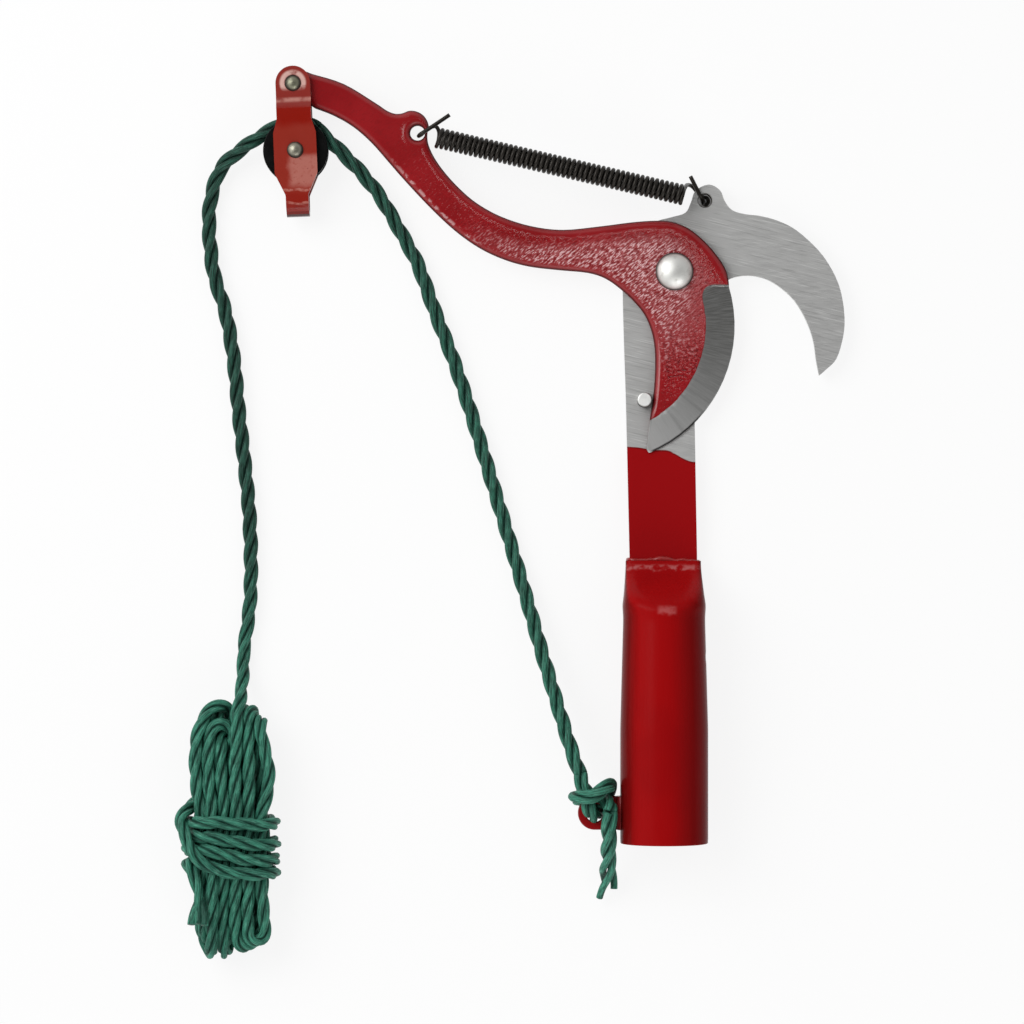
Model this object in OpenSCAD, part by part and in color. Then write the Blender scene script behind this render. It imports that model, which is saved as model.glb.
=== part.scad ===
// Head of a tree pruner that goes on a pole: hook plate, cutting lever, pulley block and rope.
// It lies on its back. The origin is the centre of the socket's mouth, +Y runs towards the hook,
// +Z is the front, and all sizes are in millimetres.

/* [Pole socket] */
// Diameter of the pole that the socket takes
pole_d = 28; // [24:0.5:34]
// Gap between the pole and the bore
pole_fit = 0.2; // [0.1:0.05:0.5]
// Sheet thickness of the rolled socket
socket_wall = 2; // [1.5:0.1:2.5]
// Length of the socket from its mouth to the weld
socket_len = 104; // [98:1:115]
// Length of the parallel stretch at the mouth
socket_straight = 42; // [30:1:60]
// Width of the socket just below its shoulder
shoulder_w = 30; // [28.5:0.5:32]
// Length of the shoulder that closes down on the shank
shoulder_len = 18; // [14:0.5:24]
// Width of the open seam along the back
seam_w = 1; // [0.6:0.1:2]
// Diameter of the side hole for a fixing screw
fixing_hole_d = 4.4; // [3:0.2:6]
// Height of the side hole above the mouth
fixing_hole_y = 68.5; // [60:0.5:75]

/* [Hook plate] */
// Thickness of the hook plate
plate_t = 4; // [3:0.25:5]
// Width of the shank
shank_w = 25; // [24:0.25:26]
// Length of shank inside the socket
shank_depth = 9; // [6:0.5:10]
// Height of the pivot above the socket's mouth
pivot_y = 211; // [205:1:225]
// Sideways offset of the pivot from the socket's axis
pivot_x = 4; // [3:0.25:5]
// Diameter of the hole in the spring ear
plate_eye_d = 4.8; // [4.2:0.1:5.4]

/* [Cutting lever] */
// Thickness of the lever
lever_t = 4; // [3:0.25:5]
// Gap between the lever and what it slides on
lever_gap = 0.3; // [0.2:0.05:0.5]
// Width of the ground bevel
bevel_w = 11; // [8:0.5:14]
// Thickness left at the cutting edge
edge_t = 0.4; // [0.3:0.1:0.8]
// Diameter of the hole in the lever's spring ear
lever_eye_d = 5.5; // [5:0.1:6]
// Radius of the lever's end in the pulley block
lever_end_r = 6; // [5:0.25:6.2]

/* [Pivot and stop] */
// Shank diameter of the pivot rivet
pivot_d = 8; // [6:0.5:9]
// Diameter of the rivet's domed head
dome_d = 14; // [12:0.5:16]
// Height of the domed head
dome_h = 4; // [3:0.25:5]
// Diameter of the closing head at the back
rear_head_d = 12; // [11:0.5:13]
// Height of the closing head
rear_head_h = 1.2; // [0.8:0.1:1.3]
// Outside diameter of the washer under it
washer_d = 15; // [14:0.5:17]
// Thickness of the washer
washer_t = 0.8; // [0.6:0.1:1]
// Running clearance of a bore on its pin
run_fit = 0.05; // [0.02:0.01:0.08]
// Diameter of the stop pin
stop_d = 5.6; // [4.5:0.1:6]
// Height of the stop pin above the lever
stop_proud = 1.4; // [0.8:0.1:2.5]
// Diameter of the pin's shank in the plate
stop_shank_d = 4; // [3:0.25:4.2]

/* [Return spring] */
// Wire diameter
wire_d = 1.2; // [1:0.05:1.3]
// Outside diameter of the curls
coil_d = 7.6; // [6.8:0.1:8]
// Number of curls
curls = 50; // [40:1:52]
// Clear gap between the wire's hooks and the plates
hook_gap = 0.3; // [0.2:0.05:0.5]

/* [Pulley block] */
// Thickness of the strap
strap_t = 1.8; // [1.4:0.1:2]
// Width of the strap beside the wheel
strap_w = 15.8; // [14:0.2:17]
// Width of the strap at the lever's end
strap_end_w = 12.8; // [12:0.2:14]
// Width of the tongue that is bent round
tongue_w = 8.4; // [6:0.2:10]
// Distance from the block rivet to the axle
axle_drop = 24.9; // [24:0.1:27]
// Distance from the block rivet to the bottom of the bend
strap_drop = 49.3; // [48:0.1:54]
// Outside diameter of the wheel
wheel_d = 24; // [23:0.25:25]
// Width of the wheel
wheel_w = 8.4; // [8:0.1:9]
// Radius at which the rope's centre runs
rope_seat_r = 11.7; // [11.4:0.05:12]
// Gap beside the wheel and beside the lever's end
cheek_gap = 0.3; // [0.2:0.05:0.5]
// Shank diameter of the two block rivets
block_pin_d = 4; // [3.5:0.1:4.4]
// Head diameter of the two block rivets
block_head_d = 6.2; // [5.5:0.1:7]
// Head height of the two block rivets
block_head_h = 1.8; // [1.2:0.1:1.8]
// Outside diameter of the wheel's bush
bush_d = 6.4; // [6:0.1:7.5]

/* [Rope] */
// Rope diameter
rope_d = 5; // [4.6:0.1:5.2]
// Clear gap between neighbouring turns of the hank
turn_gap = 0.5; // [0.45:0.05:0.8]
// Spacing of the hank's runs away from its waist
run_step = 6.6; // [6.3:0.1:7]
// Half length of the hank's straight runs
run_half = 31.5; // [28:0.5:36]
// Number of turns wrapped round the waist
wraps = 4; // [3:1:5]

/* [Rope lug] */
// Thickness of the lug
lug_t = 3; // [2:0.25:3.5]
// Radius of the lug's round end
lug_r = 6.2; // [5.8:0.1:7]
// Diameter of the lug's eye
lug_eye_d = 6.6; // [6:0.1:7]
// Leg length of the weld beads
bead = 1.8; // [1:0.1:2]

/* [Hidden] */
$fn = 64;
past = 1;

// Levels of the stacked plates, from the floor that the head lies on
bore_r = pole_d / 2 + pole_fit;
socket_r = bore_r + socket_wall;
floor_z = -socket_r;
plate_back = floor_z + socket_wall;
plate_front = plate_back + plate_t;
plate_mid = (plate_back + plate_front) / 2;
lever_back = plate_front + lever_gap;
lever_front = lever_back + lever_t;
lever_mid = (lever_back + lever_front) / 2;

// Places that several pieces share
pivot = [pivot_x, pivot_y];
plate_eye = pivot + [11.4, 26.5];
lever_eye = pivot + [-95, 51.3];
lever_end = pivot + [-141, 69.5];
block_lean = 2.3;
axle_at = lever_end + axle_drop * [sin(block_lean), -cos(block_lean)];
stop_contact = pivot + [-7.9, -47.5];
stop_at = stop_contact - [stop_d / 2 + lever_gap, 0];
lug_at = [-25.6, 11.3];

// Vector helpers
function unit(v) = v / norm(v);
function mix(a, b, t) = a + (b - a) * t;
function smooth(t) = let(c = max(0, min(1, t))) c * c * (3 - 2 * c);
function at_z(p, z) = [p[0], p[1], z];

// A smooth curve through a list of points, with a number of steps between neighbours
function through(p, steps) = let(last = len(p) - 1) concat(
    [for (i = [0:last - 1]) for (k = [0:steps - 1])
        let(a = p[max(i - 1, 0)], b = p[i], c = p[i + 1], d = p[min(i + 2, last)], t = k / steps)
        0.5 * (2 * b + (c - a) * t + (2 * a - 5 * b + 4 * c - d) * t * t
            + (3 * b - a - 3 * c + d) * t * t * t)],
    [p[last]]);

// Corners [x, y, radius] of a polygon, rounded
function rounded(p, steps = 6) = [for (i = [0:len(p) - 1])
    let(q = p[i], n = len(p), here = [q[0], q[1]],
        before = [p[(i + n - 1) % n][0], p[(i + n - 1) % n][1]],
        after = [p[(i + 1) % n][0], p[(i + 1) % n][1]],
        u = unit(before - here), v = unit(after - here),
        half = acos(max(-1, min(1, u * v))) / 2,
        turn = sign(u[0] * v[1] - u[1] * v[0]),
        centre = here + unit(u + v) * q[2] / sin(half),
        from = atan2(here[1] + u[1] * q[2] / tan(half) - centre[1],
            here[0] + u[0] * q[2] / tan(half) - centre[0]))
    each q[2] == 0 ? [here]
        : [for (k = [0:steps]) let(a = from - turn * (180 - 2 * half) * k / steps)
            centre + q[2] * [cos(a), sin(a)]]];

// A tube along a path, with a given number of sides, mitred to the point before it and the point after it
function tangents(p, before, after) = let(last = len(p) - 1)
    [for (i = [0:last]) unit((i < last ? p[i + 1] : after) - (i > 0 ? p[i - 1] : before))];
function across(t) = unit(cross(t, abs(t[2]) < 0.8 ? [0, 0, 1] : [1, 0, 0]));
function carried(t) = [for (i = 0, u = across(t[0]); i < len(t);
    i = i + 1, u = i < len(t) ? unit(u - (u * t[i]) * t[i]) : u) u];
module tube(path, d, sides, before, after) {
    n = len(path);
    t = tangents(path, is_undef(before) ? path[0] : before, is_undef(after) ? path[n - 1] : after);
    u = carried(t);
    points = [for (i = [0:n - 1]) for (k = [0:sides - 1]) let(a = 360 * k / sides)
        path[i] + d / 2 * (cos(a) * u[i] + sin(a) * cross(t[i], u[i]))];
    walls = [for (i = [0:n - 2]) for (k = [0:sides - 1])
        let(a = i * sides + k, b = i * sides + (k + 1) % sides)
        each [[a, a + sides, b + sides], [a, b + sides, b]]];
    start = [for (k = [1:sides - 2]) [0, k, k + 1]];
    finish = [for (k = [1:sides - 2]) (n - 1) * sides * [1, 1, 1] + [0, k + 1, k]];
    polyhedron(points, concat(walls, start, finish));
}

// Least clear gap of a tube to itself, measured between rings that are not neighbours
function self_gap(p, d, skip) = min([for (i = [0:len(p) - skip - 1])
    min([for (j = [i + skip:len(p) - 1]) norm(p[i] - p[j])])]) - d;

// Outline of the hook plate, from the pivot, with its shank set by the shank's width
shank_left = [-shank_w / 2 - pivot_x, socket_len - shank_depth - pivot_y];
shank_right = [shank_w / 2 - pivot_x, socket_len - shank_depth - pivot_y];
neck_y = socket_len + 2 - pivot_y;
plate_left = [shank_left, [shank_left[0], neck_y]];
plate_back_edge = [[-shank_w / 2 - 5.3, -48], [-shank_w / 2 - 6.5, -7], [-18, 4], [-14, 12.5],
    [-7.5, 18.3], [-1, 20.3], [4.2, 22], [6.3, 26], [8, 30.2], [12.8, 32.4], [17, 30.3], [18.7, 26.4],
    [21.4, 23], [26, 21.5], [31.7, 20.8], [38.4, 19], [45.4, 15.4], [53.5, 8], [58.6, 0.6],
    [61.7, -7], [63.1, -16], [62.7, -23.5], [60.2, -32], [56, -36.4], [53.8, -38.3]];
plate_throat = [[53.8, -38.3], [52.7, -32.7], [51.6, -25.3], [49, -17.9], [44.6, -10.5], [38.4, -4.9],
    [32.4, -2], [26, -1.3], [19.8, -3], [14, -8.4], [10.2, -17.2], [8.3, -29],
    [shank_w / 2 - 4.9, -47.5], [shank_w / 2 - 4.7, -66]];
plate_right = [[shank_right[0], neck_y], shank_right];

// Outline of the lever, from the pivot: back of the arm, cutting edge, blade and inside of the arm
edge_r = 50.9;
edge_centre = [22.4 - edge_r, -20];
edge_from = 17;
edge_to = -68;
blade_tip = edge_centre + edge_r * [cos(edge_to), sin(edge_to)];
lever_top = [[-134, 73.2], [-122.3, 69.5], [-110.5, 62.4], [-106.5, 59.7], [-103.5, 58.5], [-100.8, 58.6],
    [-98, 59.6], [-95, 59.2], [-92.4, 57.4], [-90.9, 54.2], [-91.4, 50.8], [-91, 47.2], [-89, 42.6],
    [-85.3, 37.2], [-80, 31.3], [-73.4, 25.6], [-64.5, 20.6], [-53.5, 17], [-41.5, 15.5],
    [-27.5, 16.8], [-15.7, 18.3], [-7.2, 18.9], [-0.9, 18.5], [5.8, 15.7], [12, 10.4], [16.5, 5],
    [19.2, 0.4], [20, -3.2]];
lever_edge = [for (a = [edge_from:-5:edge_to]) edge_centre + edge_r * [cos(a), sin(a)]];
lever_low = [blade_tip + [-0.9, 1.7], [-9.2, -56], [-7.7, -45.3], [-7.1, -36.5], [-7.2, -29], [-8.3, -22.4],
    [-10.9, -16.1], [-15, -10.9], [-19.4, -6.8], [-25.3, -2.6], [-32, -0.4], [-42.4, 0.6],
    [-53.5, 1.9], [-62.7, 4.4], [-72, 8.7], [-81.2, 15.2], [-90.5, 23.9], [-99.7, 33.7], [-106, 40.9],
    [-112, 47.7], [-118.6, 53.5], [-126, 57.8], [-133, 60.5]];
lever_round = [for (a = [-60:-20:-290]) lever_end - pivot + lever_end_r * [cos(a), sin(a)]];

// The spring's wire: a hook through the plate's eye, then the curls, then a hook through the lever's eye
spring_u = unit(lever_eye - plate_eye);
spring_v = [spring_u[1], -spring_u[0]];
coil_r = (coil_d - wire_d) / 2;
plate_lead = 8.8;
lever_lead = 8.1;
coil_len = norm(lever_eye - plate_eye) - plate_lead - lever_lead;
rings_a_curl = 8;
function on_coil(turn) = let(a = 180 + 360 * turn,
        p = plate_eye + spring_u * (plate_lead + coil_len * turn / curls) + spring_v * coil_r * cos(a))
    at_z(p, lever_mid + coil_r * sin(a));
wire_over = plate_front + wire_d / 2 + hook_gap;
wire_under = plate_back - wire_d / 2 - hook_gap;
plate_hook = [for (p = [[-5.4, 8.9, wire_over], [-2.2, 2.6, wire_over], [-1, 0.8, plate_front],
        [-0.7, 0.4, plate_mid], [-1.1, 1, plate_back], [-2.6, 3.4, wire_under], [-4.7, 5.6, wire_under + 0.6],
        [-6.4, 5.9, plate_mid], [-7.2, 4.6, lever_mid], [-8.3, 1.8, lever_mid + 2.2]])
    p + [plate_eye[0], plate_eye[1], 0]];
coil_start = on_coil(0);
coil_end = on_coil(curls);
spring_path = concat(through(concat(plate_hook, [coil_start + [0.1, 0.6, 2], coil_start + [0, 0, wire_d]]), 3),
    [for (i = [0:curls * rings_a_curl]) on_coil(i / rings_a_curl)], [coil_end - [0, 0, wire_d]]);
wire_off = lever_t / 2 + wire_d / 2 + hook_gap;
lever_hook = [for (p = [[7.6, -3, -wire_off], [7.9, 0.5, -wire_off], [6.6, 2.7, -wire_off],
        [3.9, 1.8, -wire_off], [1.3, -0.4, -wire_off + 0.3], [0.4, -1.1, 0], [1.3, -0.5, wire_off - 0.3],
        [4, 1.2, wire_off], [11.9, 6.5, wire_off]])
    p + [lever_eye[0], lever_eye[1], lever_mid]];
hook_path = concat([coil_end - [0, 0, wire_d]],
    through(concat([coil_end - [-0.1, -0.4, wire_d * 2]], lever_hook), 3));

// Routes of the rope, from the wheel to the knot and to the hank
rope_r = rope_d / 2;
rope_floor = floor_z + rope_r;
turn_from = 47;
turn_to = 124;
function on_wheel(a) = at_z(axle_at + rope_seat_r * [cos(a), sin(a)], lever_mid);
over_path = [for (a = [turn_from:11:turn_to]) on_wheel(a)];
standing_path = concat([on_wheel(turn_from)], [[-122.5, 258.5, -8.2], [-113.5, 249.5, -9.2],
    [-106, 240.5, -10.6], [-100.5, 231.5, -12.2], [-95.5, 222.5, -13.2], [-90.8, 213.5, rope_floor],
    [-84.5, 196, rope_floor], [-77.8, 178.5, rope_floor], [-71.8, 160.5, rope_floor],
    [-66.4, 143, rope_floor], [-61, 125, rope_floor], [-55.8, 107.5, -13.3], [-50.5, 89.5, -11.6],
    [-45.4, 71.5, -8.6], [-40.2, 54, -4.8], [-35, 37, -0.4], [-31, 25.5, 2.6]]);
free_path = concat([on_wheel(turn_to)], [[-147.5, 262.3, -8.1], [-154, 258, -8.9], [-160, 253.5, -10.2],
    [-164.5, 248.5, -11.6], [-167.3, 240.5, -12.9], [-168.5, 231.5, rope_floor], [-168.2, 222.5, rope_floor],
    [-166.5, 209.5, rope_floor], [-162.3, 196, rope_floor], [-159.3, 178.5, rope_floor],
    [-157.6, 160.5, rope_floor], [-155.6, 143, rope_floor], [-153.8, 125, rope_floor],
    [-153, 107.5, rope_floor], [-153.2, 89.5, rope_floor], [-155, 71.5, rope_floor],
    [-157, 54, rope_floor], [-158, 40, rope_floor], [-158, 31, rope_floor]]);
knot_path = [[-31, 25.5, 2.6], [-28.2, 19, 5.6], [-26.2, 13.8, 5], [-25.6, 11.3, 0], [-24.8, 12.6, -5],
    [-22.4, 17.6, -6.2], [-21.4, 23, -3.4], [-23.2, 26.6, 2.2], [-27, 26.2, 8.2], [-31.6, 23.2, 10.6],
    [-35.8, 20.4, 6.2], [-34.6, 19.8, 0.2], [-29.2, 20.6, -1.2], [-24.2, 20.6, 1.4], [-20.8, 17, 5.6],
    [-20.3, 12, 6.6]];
tail_path = [[-20.3, 12, 6.6], [-20.6, 7, 5.6], [-21, 0, 1.6], [-21.4, -8, -5.6], [-21.8, -14.5, -11.4],
    [-22, -20, rope_floor]];

// The hank: runs in five columns and four layers, spiralling in and out, drawn in at the waist
hank_at = [-159, 4.2];
hank_columns = [-2, 1, -1, 0, -1, 1, -2, 2];
hank_runs = 15;
layer_step = rope_d + turn_gap;
waist_step = rope_d + turn_gap;
layer_one = floor_z + rope_d + turn_gap + rope_r;
end_drop = rope_d + turn_gap;
run_rings = 4;
bend_rings = 8;
function column(i) = hank_columns[i % 8];
function is_climb(i) = column(i) == 0 || column(i) == 2;
function layer(i) = floor((i + 1) / 4);
function run_spread(y) = mix(waist_step, run_step, smooth((abs(y) - 12) / 14));
function run_droop(y) = end_drop * smooth((-y - 12) / 18);
function run_point(i, k) = let(t = k / run_rings, side = i % 2 == 0 ? 1 : -1,
        y = side * mix(run_half, -run_half, t), rise = is_climb(i) ? smooth(t) - 1 : 0)
    [hank_at[0] + column(i) * run_spread(y), hank_at[1] + y,
        layer_one + layer_step * (layer(i) + rise) - run_droop(y)];
function bend_point(i, k) = let(side = i % 2 == 0 ? -1 : 1, c = (column(i) + column(i + 1)) / 2,
        r = abs(column(i) - column(i + 1)) / 2, from = column(i) > column(i + 1) ? 0 : 180,
        a = mix(from, 180 - from, k / bend_rings))
    [hank_at[0] + run_step * (c + r * cos(a)), hank_at[1] + side * (run_half + run_step * r * sin(a)),
        layer_one + layer_step * layer(i) - run_droop(side * run_half)];
hank_path = [for (i = [0:hank_runs - 1]) each concat(
    [for (k = [i == 0 ? 3 : 0:run_rings]) run_point(i, k)],
    i < hank_runs - 1 ? [for (k = [1:bend_rings - 1]) bend_point(i, k)] : [])];

// The wraps: a rounded oblong helix round the waist, led in from the floor and out to the first run
wrap_half = [2 * waist_step, 1.5 * layer_step];
wrap_mid = layer_one + 1.5 * layer_step;
wrap_r = rope_d + turn_gap;
wrap_pitch = rope_d + turn_gap;
wrap_top = hank_at[1] + wraps * wrap_pitch / 2;
rings_a_wrap = 24;
function wrap_point(j) = let(a = -90 + 360 * (j + 0.5) / rings_a_wrap)
    [hank_at[0] + sign(cos(a)) * wrap_half[0] + wrap_r * cos(a), wrap_top - wrap_pitch * j / rings_a_wrap,
        wrap_mid + sign(sin(a)) * wrap_half[1] + wrap_r * sin(a)];
wrap_path = concat(through([[-158, 31, rope_floor], [-157.6, 26, rope_floor], [-155, 19.5, rope_floor],
        [-150.5, 16, rope_floor]], 3),
    [for (j = [0:wraps * rings_a_wrap - 7]) wrap_point(j)],
    through([[-175.8, -5.6, 3], [-176.2, -6.4, -2.2], [-175, -8, -6.8], run_point(0, 3) + [-0.5, 1.6, 0.3],
        run_point(0, 3)], 2));

// Sub-parts

module cap(d, h) {
    r = (d * d / 4 + h * h) / (2 * h);
    intersection() {
        translate([0, 0, h - r]) sphere(r);
        cylinder(d = d, h = h);
    }
}

module hook_plate() {
    color("silver") translate([pivot_x, pivot_y, plate_back]) difference() {
        linear_extrude(plate_t) polygon(concat(plate_left, through(plate_back_edge, 4),
            through(plate_throat, 4), plate_right));
        translate([0, 0, -past]) cylinder(d = pivot_d, h = plate_t + 2 * past);
        translate(at_z(plate_eye - pivot, -past)) cylinder(d = plate_eye_d, h = plate_t + 2 * past);
        translate(at_z(stop_at - pivot, -past)) cylinder(d = stop_shank_d, h = plate_t + 2 * past);
    }
}

// Rings of the socket: round at the mouth, then an oval that closes down on the shank and squares up
ring_sides = 64;
neck_steps = 6;
shoulder_y = socket_len - shoulder_len;
shoulder_front = socket_r - 2;
flat_w = shank_w + 2 * 1.4;
flat_front = plate_front + socket_wall;
function socket_ring(y, w, front, power, wall) = let(back = floor_z + wall, top = front - wall,
        b = (top - back) / 2)
    [for (k = [0:ring_sides - 1]) let(a = 360 * (k + 0.5) / ring_sides)
        [(w / 2 - wall) * sign(cos(a)) * pow(abs(cos(a)), 2 / power), y,
            (top + back) / 2 + b * sign(sin(a)) * pow(abs(sin(a)), 2 / power)]];
function round_ring(y, wall) = socket_ring(y, 2 * socket_r, socket_r, 2, wall);
function neck_rings(wall) = [for (k = [0:neck_steps]) let(t = k / neck_steps, s = smooth(t))
    socket_ring(mix(shoulder_y, socket_len, t), mix(shoulder_w, flat_w, s),
        mix(shoulder_front, flat_front, s), mix(2, 8, t), wall)];
module loft(rings) {
    n = len(rings);
    m = len(rings[0]);
    walls = [for (i = [0:n - 2]) for (k = [0:m - 1]) let(a = i * m, j = (k + 1) % m)
        each [[a + k, a + m + j, a + m + k], [a + k, a + j, a + m + j]]];
    polyhedron([for (r = rings) each r],
        concat(walls, [[for (k = [m - 1:-1:0]) k]], [[for (k = [0:m - 1]) (n - 1) * m + k]]));
}

module socket() {
    rim = 0.5;
    slot_fit = 0.1;
    ledge = 0.3;
    color("firebrick") difference() {
        loft(concat([round_ring(0, rim), round_ring(rim, 0), round_ring(socket_straight, 0)], neck_rings(0)));
        translate([0, -past, 0]) rotate([-90, 0, 0]) cylinder(r = bore_r, h = socket_straight + past);
        loft(concat([round_ring(socket_straight - past, socket_wall + ledge)], neck_rings(socket_wall),
            [socket_ring(socket_len + past, flat_w, flat_front, 8, socket_wall)]));
        translate([-shank_w / 2 - slot_fit, socket_len - shank_depth - past, plate_back - slot_fit / 2])
            cube([shank_w + 2 * slot_fit, shank_depth + 2 * past, plate_t + slot_fit]);
        translate([-seam_w / 2, -past, floor_z - past]) cube([seam_w, shoulder_y, socket_wall + 2 * past]);
        translate([0, fixing_hole_y, 0]) rotate([0, 90, 0]) cylinder(d = fixing_hole_d, h = socket_r + past);
    }
}

module quarter_bead(length) {
    linear_extrude(length) intersection() {
        circle(bead);
        square(bead);
    }
}

module socket_weld() {
    color("firebrick") {
        translate([-shank_w / 2, socket_len, plate_front]) rotate([90, 0, 90]) quarter_bead(shank_w);
        translate([shank_w / 2, socket_len, plate_back]) quarter_bead(plate_t);
        translate([-shank_w / 2, socket_len, plate_back]) mirror([1, 0, 0]) quarter_bead(plate_t);
    }
}

module rope_lug() {
    color("firebrick") difference() {
        translate([0, 0, -lug_t / 2]) linear_extrude(lug_t) union() {
            translate(lug_at) circle(lug_r);
            translate(lug_at - [0, lug_r]) square([-lug_at[0], 2 * lug_r]);
        }
        translate(at_z(lug_at, -past - lug_t)) cylinder(d = lug_eye_d, h = 2 * (lug_t + past));
        translate([0, -past, 0]) rotate([-90, 0, 0]) cylinder(r = socket_r, h = socket_straight);
    }
}

module lug_weld() {
    color("firebrick") difference() {
        for (side = [0, 1]) mirror([0, 0, side])
            translate([-socket_r + bead / 4, lug_at[1] - lug_r, lug_t / 2]) rotate([90, 0, 180])
                quarter_bead(2 * lug_r);
        translate([0, -past, 0]) rotate([-90, 0, 0]) cylinder(r = socket_r, h = socket_straight);
    }
}

module pivot_rivet() {
    color("gainsboro") translate([pivot_x, pivot_y, 0]) {
        translate([0, 0, lever_front + lever_gap]) cap(dome_d, dome_h);
        translate([0, 0, plate_back - washer_t]) cylinder(d = pivot_d, h = lever_front + lever_gap - plate_back + washer_t);
        translate([0, 0, plate_back - washer_t - rear_head_h]) cylinder(d1 = rear_head_d - rear_head_h, d2 = rear_head_d, h = rear_head_h);
    }
}

module pivot_washer() {
    color("gray") translate([pivot_x, pivot_y, plate_back - washer_t]) difference() {
        cylinder(d = washer_d, h = washer_t);
        translate([0, 0, -past]) cylinder(d = pivot_d + 2 * run_fit, h = washer_t + 2 * past);
    }
}

module stop_pin() {
    peen = 0.8;
    lip = 0.5;
    top = lever_front + stop_proud;
    color("white") translate(at_z(stop_at, 0)) {
        translate([0, 0, plate_back - peen]) cylinder(d1 = stop_shank_d, d2 = stop_shank_d + peen, h = peen);
        translate([0, 0, plate_back]) cylinder(d = stop_shank_d, h = plate_t);
        translate([0, 0, plate_front]) cylinder(d = stop_d, h = top - plate_front - lip);
        translate([0, 0, top - lip]) cylinder(d1 = stop_d, d2 = stop_d - 2 * lip, h = lip);
    }
}

module cutting_lever() {
    shoulder = -5;
    grind_out = edge_r + past;
    drop = (lever_t - edge_t) * (bevel_w + past) / bevel_w;
    color("firebrick") translate([pivot_x, pivot_y, lever_back]) difference() {
        linear_extrude(lever_t) polygon(concat(through(lever_top, 4), lever_edge, through(lever_low, 4),
            lever_round));
        intersection() {
            translate(at_z(edge_centre, 0)) rotate_extrude($fn = 128)
                polygon([[edge_r - bevel_w, lever_t], [grind_out, lever_t - drop], [grind_out, lever_t + past],
                    [edge_r - bevel_w, lever_t + past]]);
            translate([-lever_end_r * 3, shoulder - 2 * edge_r, 0]) cube([2 * edge_r, 2 * edge_r, lever_t + past]);
        }
        translate([0, 0, -past]) cylinder(d = pivot_d + 2 * run_fit, h = lever_t + 2 * past);
        translate(at_z(lever_eye - pivot, -past)) cylinder(d = lever_eye_d, h = lever_t + 2 * past);
        translate(at_z(lever_end - pivot, -past)) cylinder(d = block_pin_d + 2 * run_fit, h = lever_t + 2 * past);
    }
}

module return_spring() {
    color("dimgray") tube(spring_path, wire_d, 6, after = hook_path[1]);
}

module spring_hook() {
    color("dimgray") tube(hook_path, wire_d, 6, before = spring_path[len(spring_path) - 2]);
}

// Half gaps between the strap's cheeks, at the lever and at the wheel
cheek_lever = lever_t / 2 + cheek_gap;
cheek_wheel = wheel_w / 2 + cheek_gap;
module in_block() {
    translate(at_z(lever_end, lever_mid)) rotate([0, 0, block_lean]) children();
}
function folded(out, top, bottom, bend) = let(joggle = [-5.8, -9.2])
    concat([for (s = [1, -1]) each let(side = [[s * (cheek_lever + out), top, 0],
            [s * (cheek_lever + out), joggle[0], bend], [s * (cheek_wheel + out), joggle[1], bend],
            [s * (cheek_wheel + out), bottom, cheek_wheel + out - 0.01]])
        s > 0 ? side : [for (i = [3:-1:0]) side[i]]]);
module pulley_strap() {
    waist = strap_end_w / 2;
    belly = strap_w / 2;
    tongue = tongue_w / 2;
    color("orangered") in_block() difference() {
        intersection() {
            rotate([0, 90, 0]) linear_extrude(strap_w + 2 * past, center = true) difference() {
                polygon(rounded(folded(strap_t, waist + past, -strap_drop, 1)));
                polygon(rounded(folded(0, waist + 2 * past, strap_t - strap_drop, 1)));
            }
            linear_extrude(4 * wheel_w, center = true) polygon(rounded([[waist, waist, waist - 0.01],
                [waist, -13.5, 3], [belly, -18.5, 4], [belly, -33.5, 4], [tongue, -41.5, 2.5],
                [tongue, -strap_drop - past, 0], [-tongue, -strap_drop - past, 0], [-tongue, -41.5, 2.5],
                [-belly, -33.5, 4], [-belly, -18.5, 4], [-waist, -13.5, 3], [-waist, waist, waist - 0.01]], 10));
        }
        for (y = [0, -axle_drop]) translate([0, y, -2 * wheel_w]) cylinder(d = block_pin_d, h = 4 * wheel_w);
    }
}

module headed_pin(half) {
    translate([0, 0, -half]) cylinder(d = block_pin_d, h = 2 * half);
    for (side = [0, 1]) mirror([0, 0, side]) translate([0, 0, half]) cap(block_head_d, block_head_h);
}

module block_rivet() {
    color("darkslategray") in_block() headed_pin(cheek_lever + strap_t);
}

module pulley_axle() {
    color("darkslategray") translate(at_z(axle_at, lever_mid)) headed_pin(cheek_wheel + strap_t);
}

module pulley_wheel() {
    groove_fit = 0.3;
    color("black") translate(at_z(axle_at, lever_mid)) rotate_extrude($fn = 96) difference() {
        translate([bush_d / 2, -wheel_w / 2]) square([(wheel_d - bush_d) / 2, wheel_w]);
        translate([rope_seat_r, 0]) circle(rope_r + groove_fit);
    }
}

module wheel_bush() {
    color("goldenrod") translate(at_z(axle_at, lever_mid)) difference() {
        cylinder(d = bush_d, h = wheel_w, center = true);
        cylinder(d = block_pin_d + 2 * run_fit, h = wheel_w + 2 * past, center = true);
    }
}

rope_color = "darkslategray";
knot_curve = through(knot_path, 2);
function near_end(p) = p[len(p) - 2];
module rope_knot() {
    color(rope_color) tube(knot_curve, rope_d, 8, near_end(standing_path), tail_path[1]);
}
module rope_tail() {
    color(rope_color) tube(tail_path, rope_d, 8, near_end(knot_curve));
}
module rope_standing_line() {
    color(rope_color) tube(standing_path, rope_d, 8, over_path[1], knot_curve[1]);
}
module rope_over_pulley() {
    color(rope_color) tube(over_path, rope_d, 8, standing_path[1], free_path[1]);
}
module rope_free_line() {
    color(rope_color) tube(free_path, rope_d, 8, near_end(over_path), wrap_path[1]);
}
module rope_hank() {
    color(rope_color) tube(hank_path, rope_d, 6, near_end(wrap_path));
}
module hank_wrap() {
    color(rope_color) tube(wrap_path, rope_d, 6, near_end(free_path), hank_path[1]);
}

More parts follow.
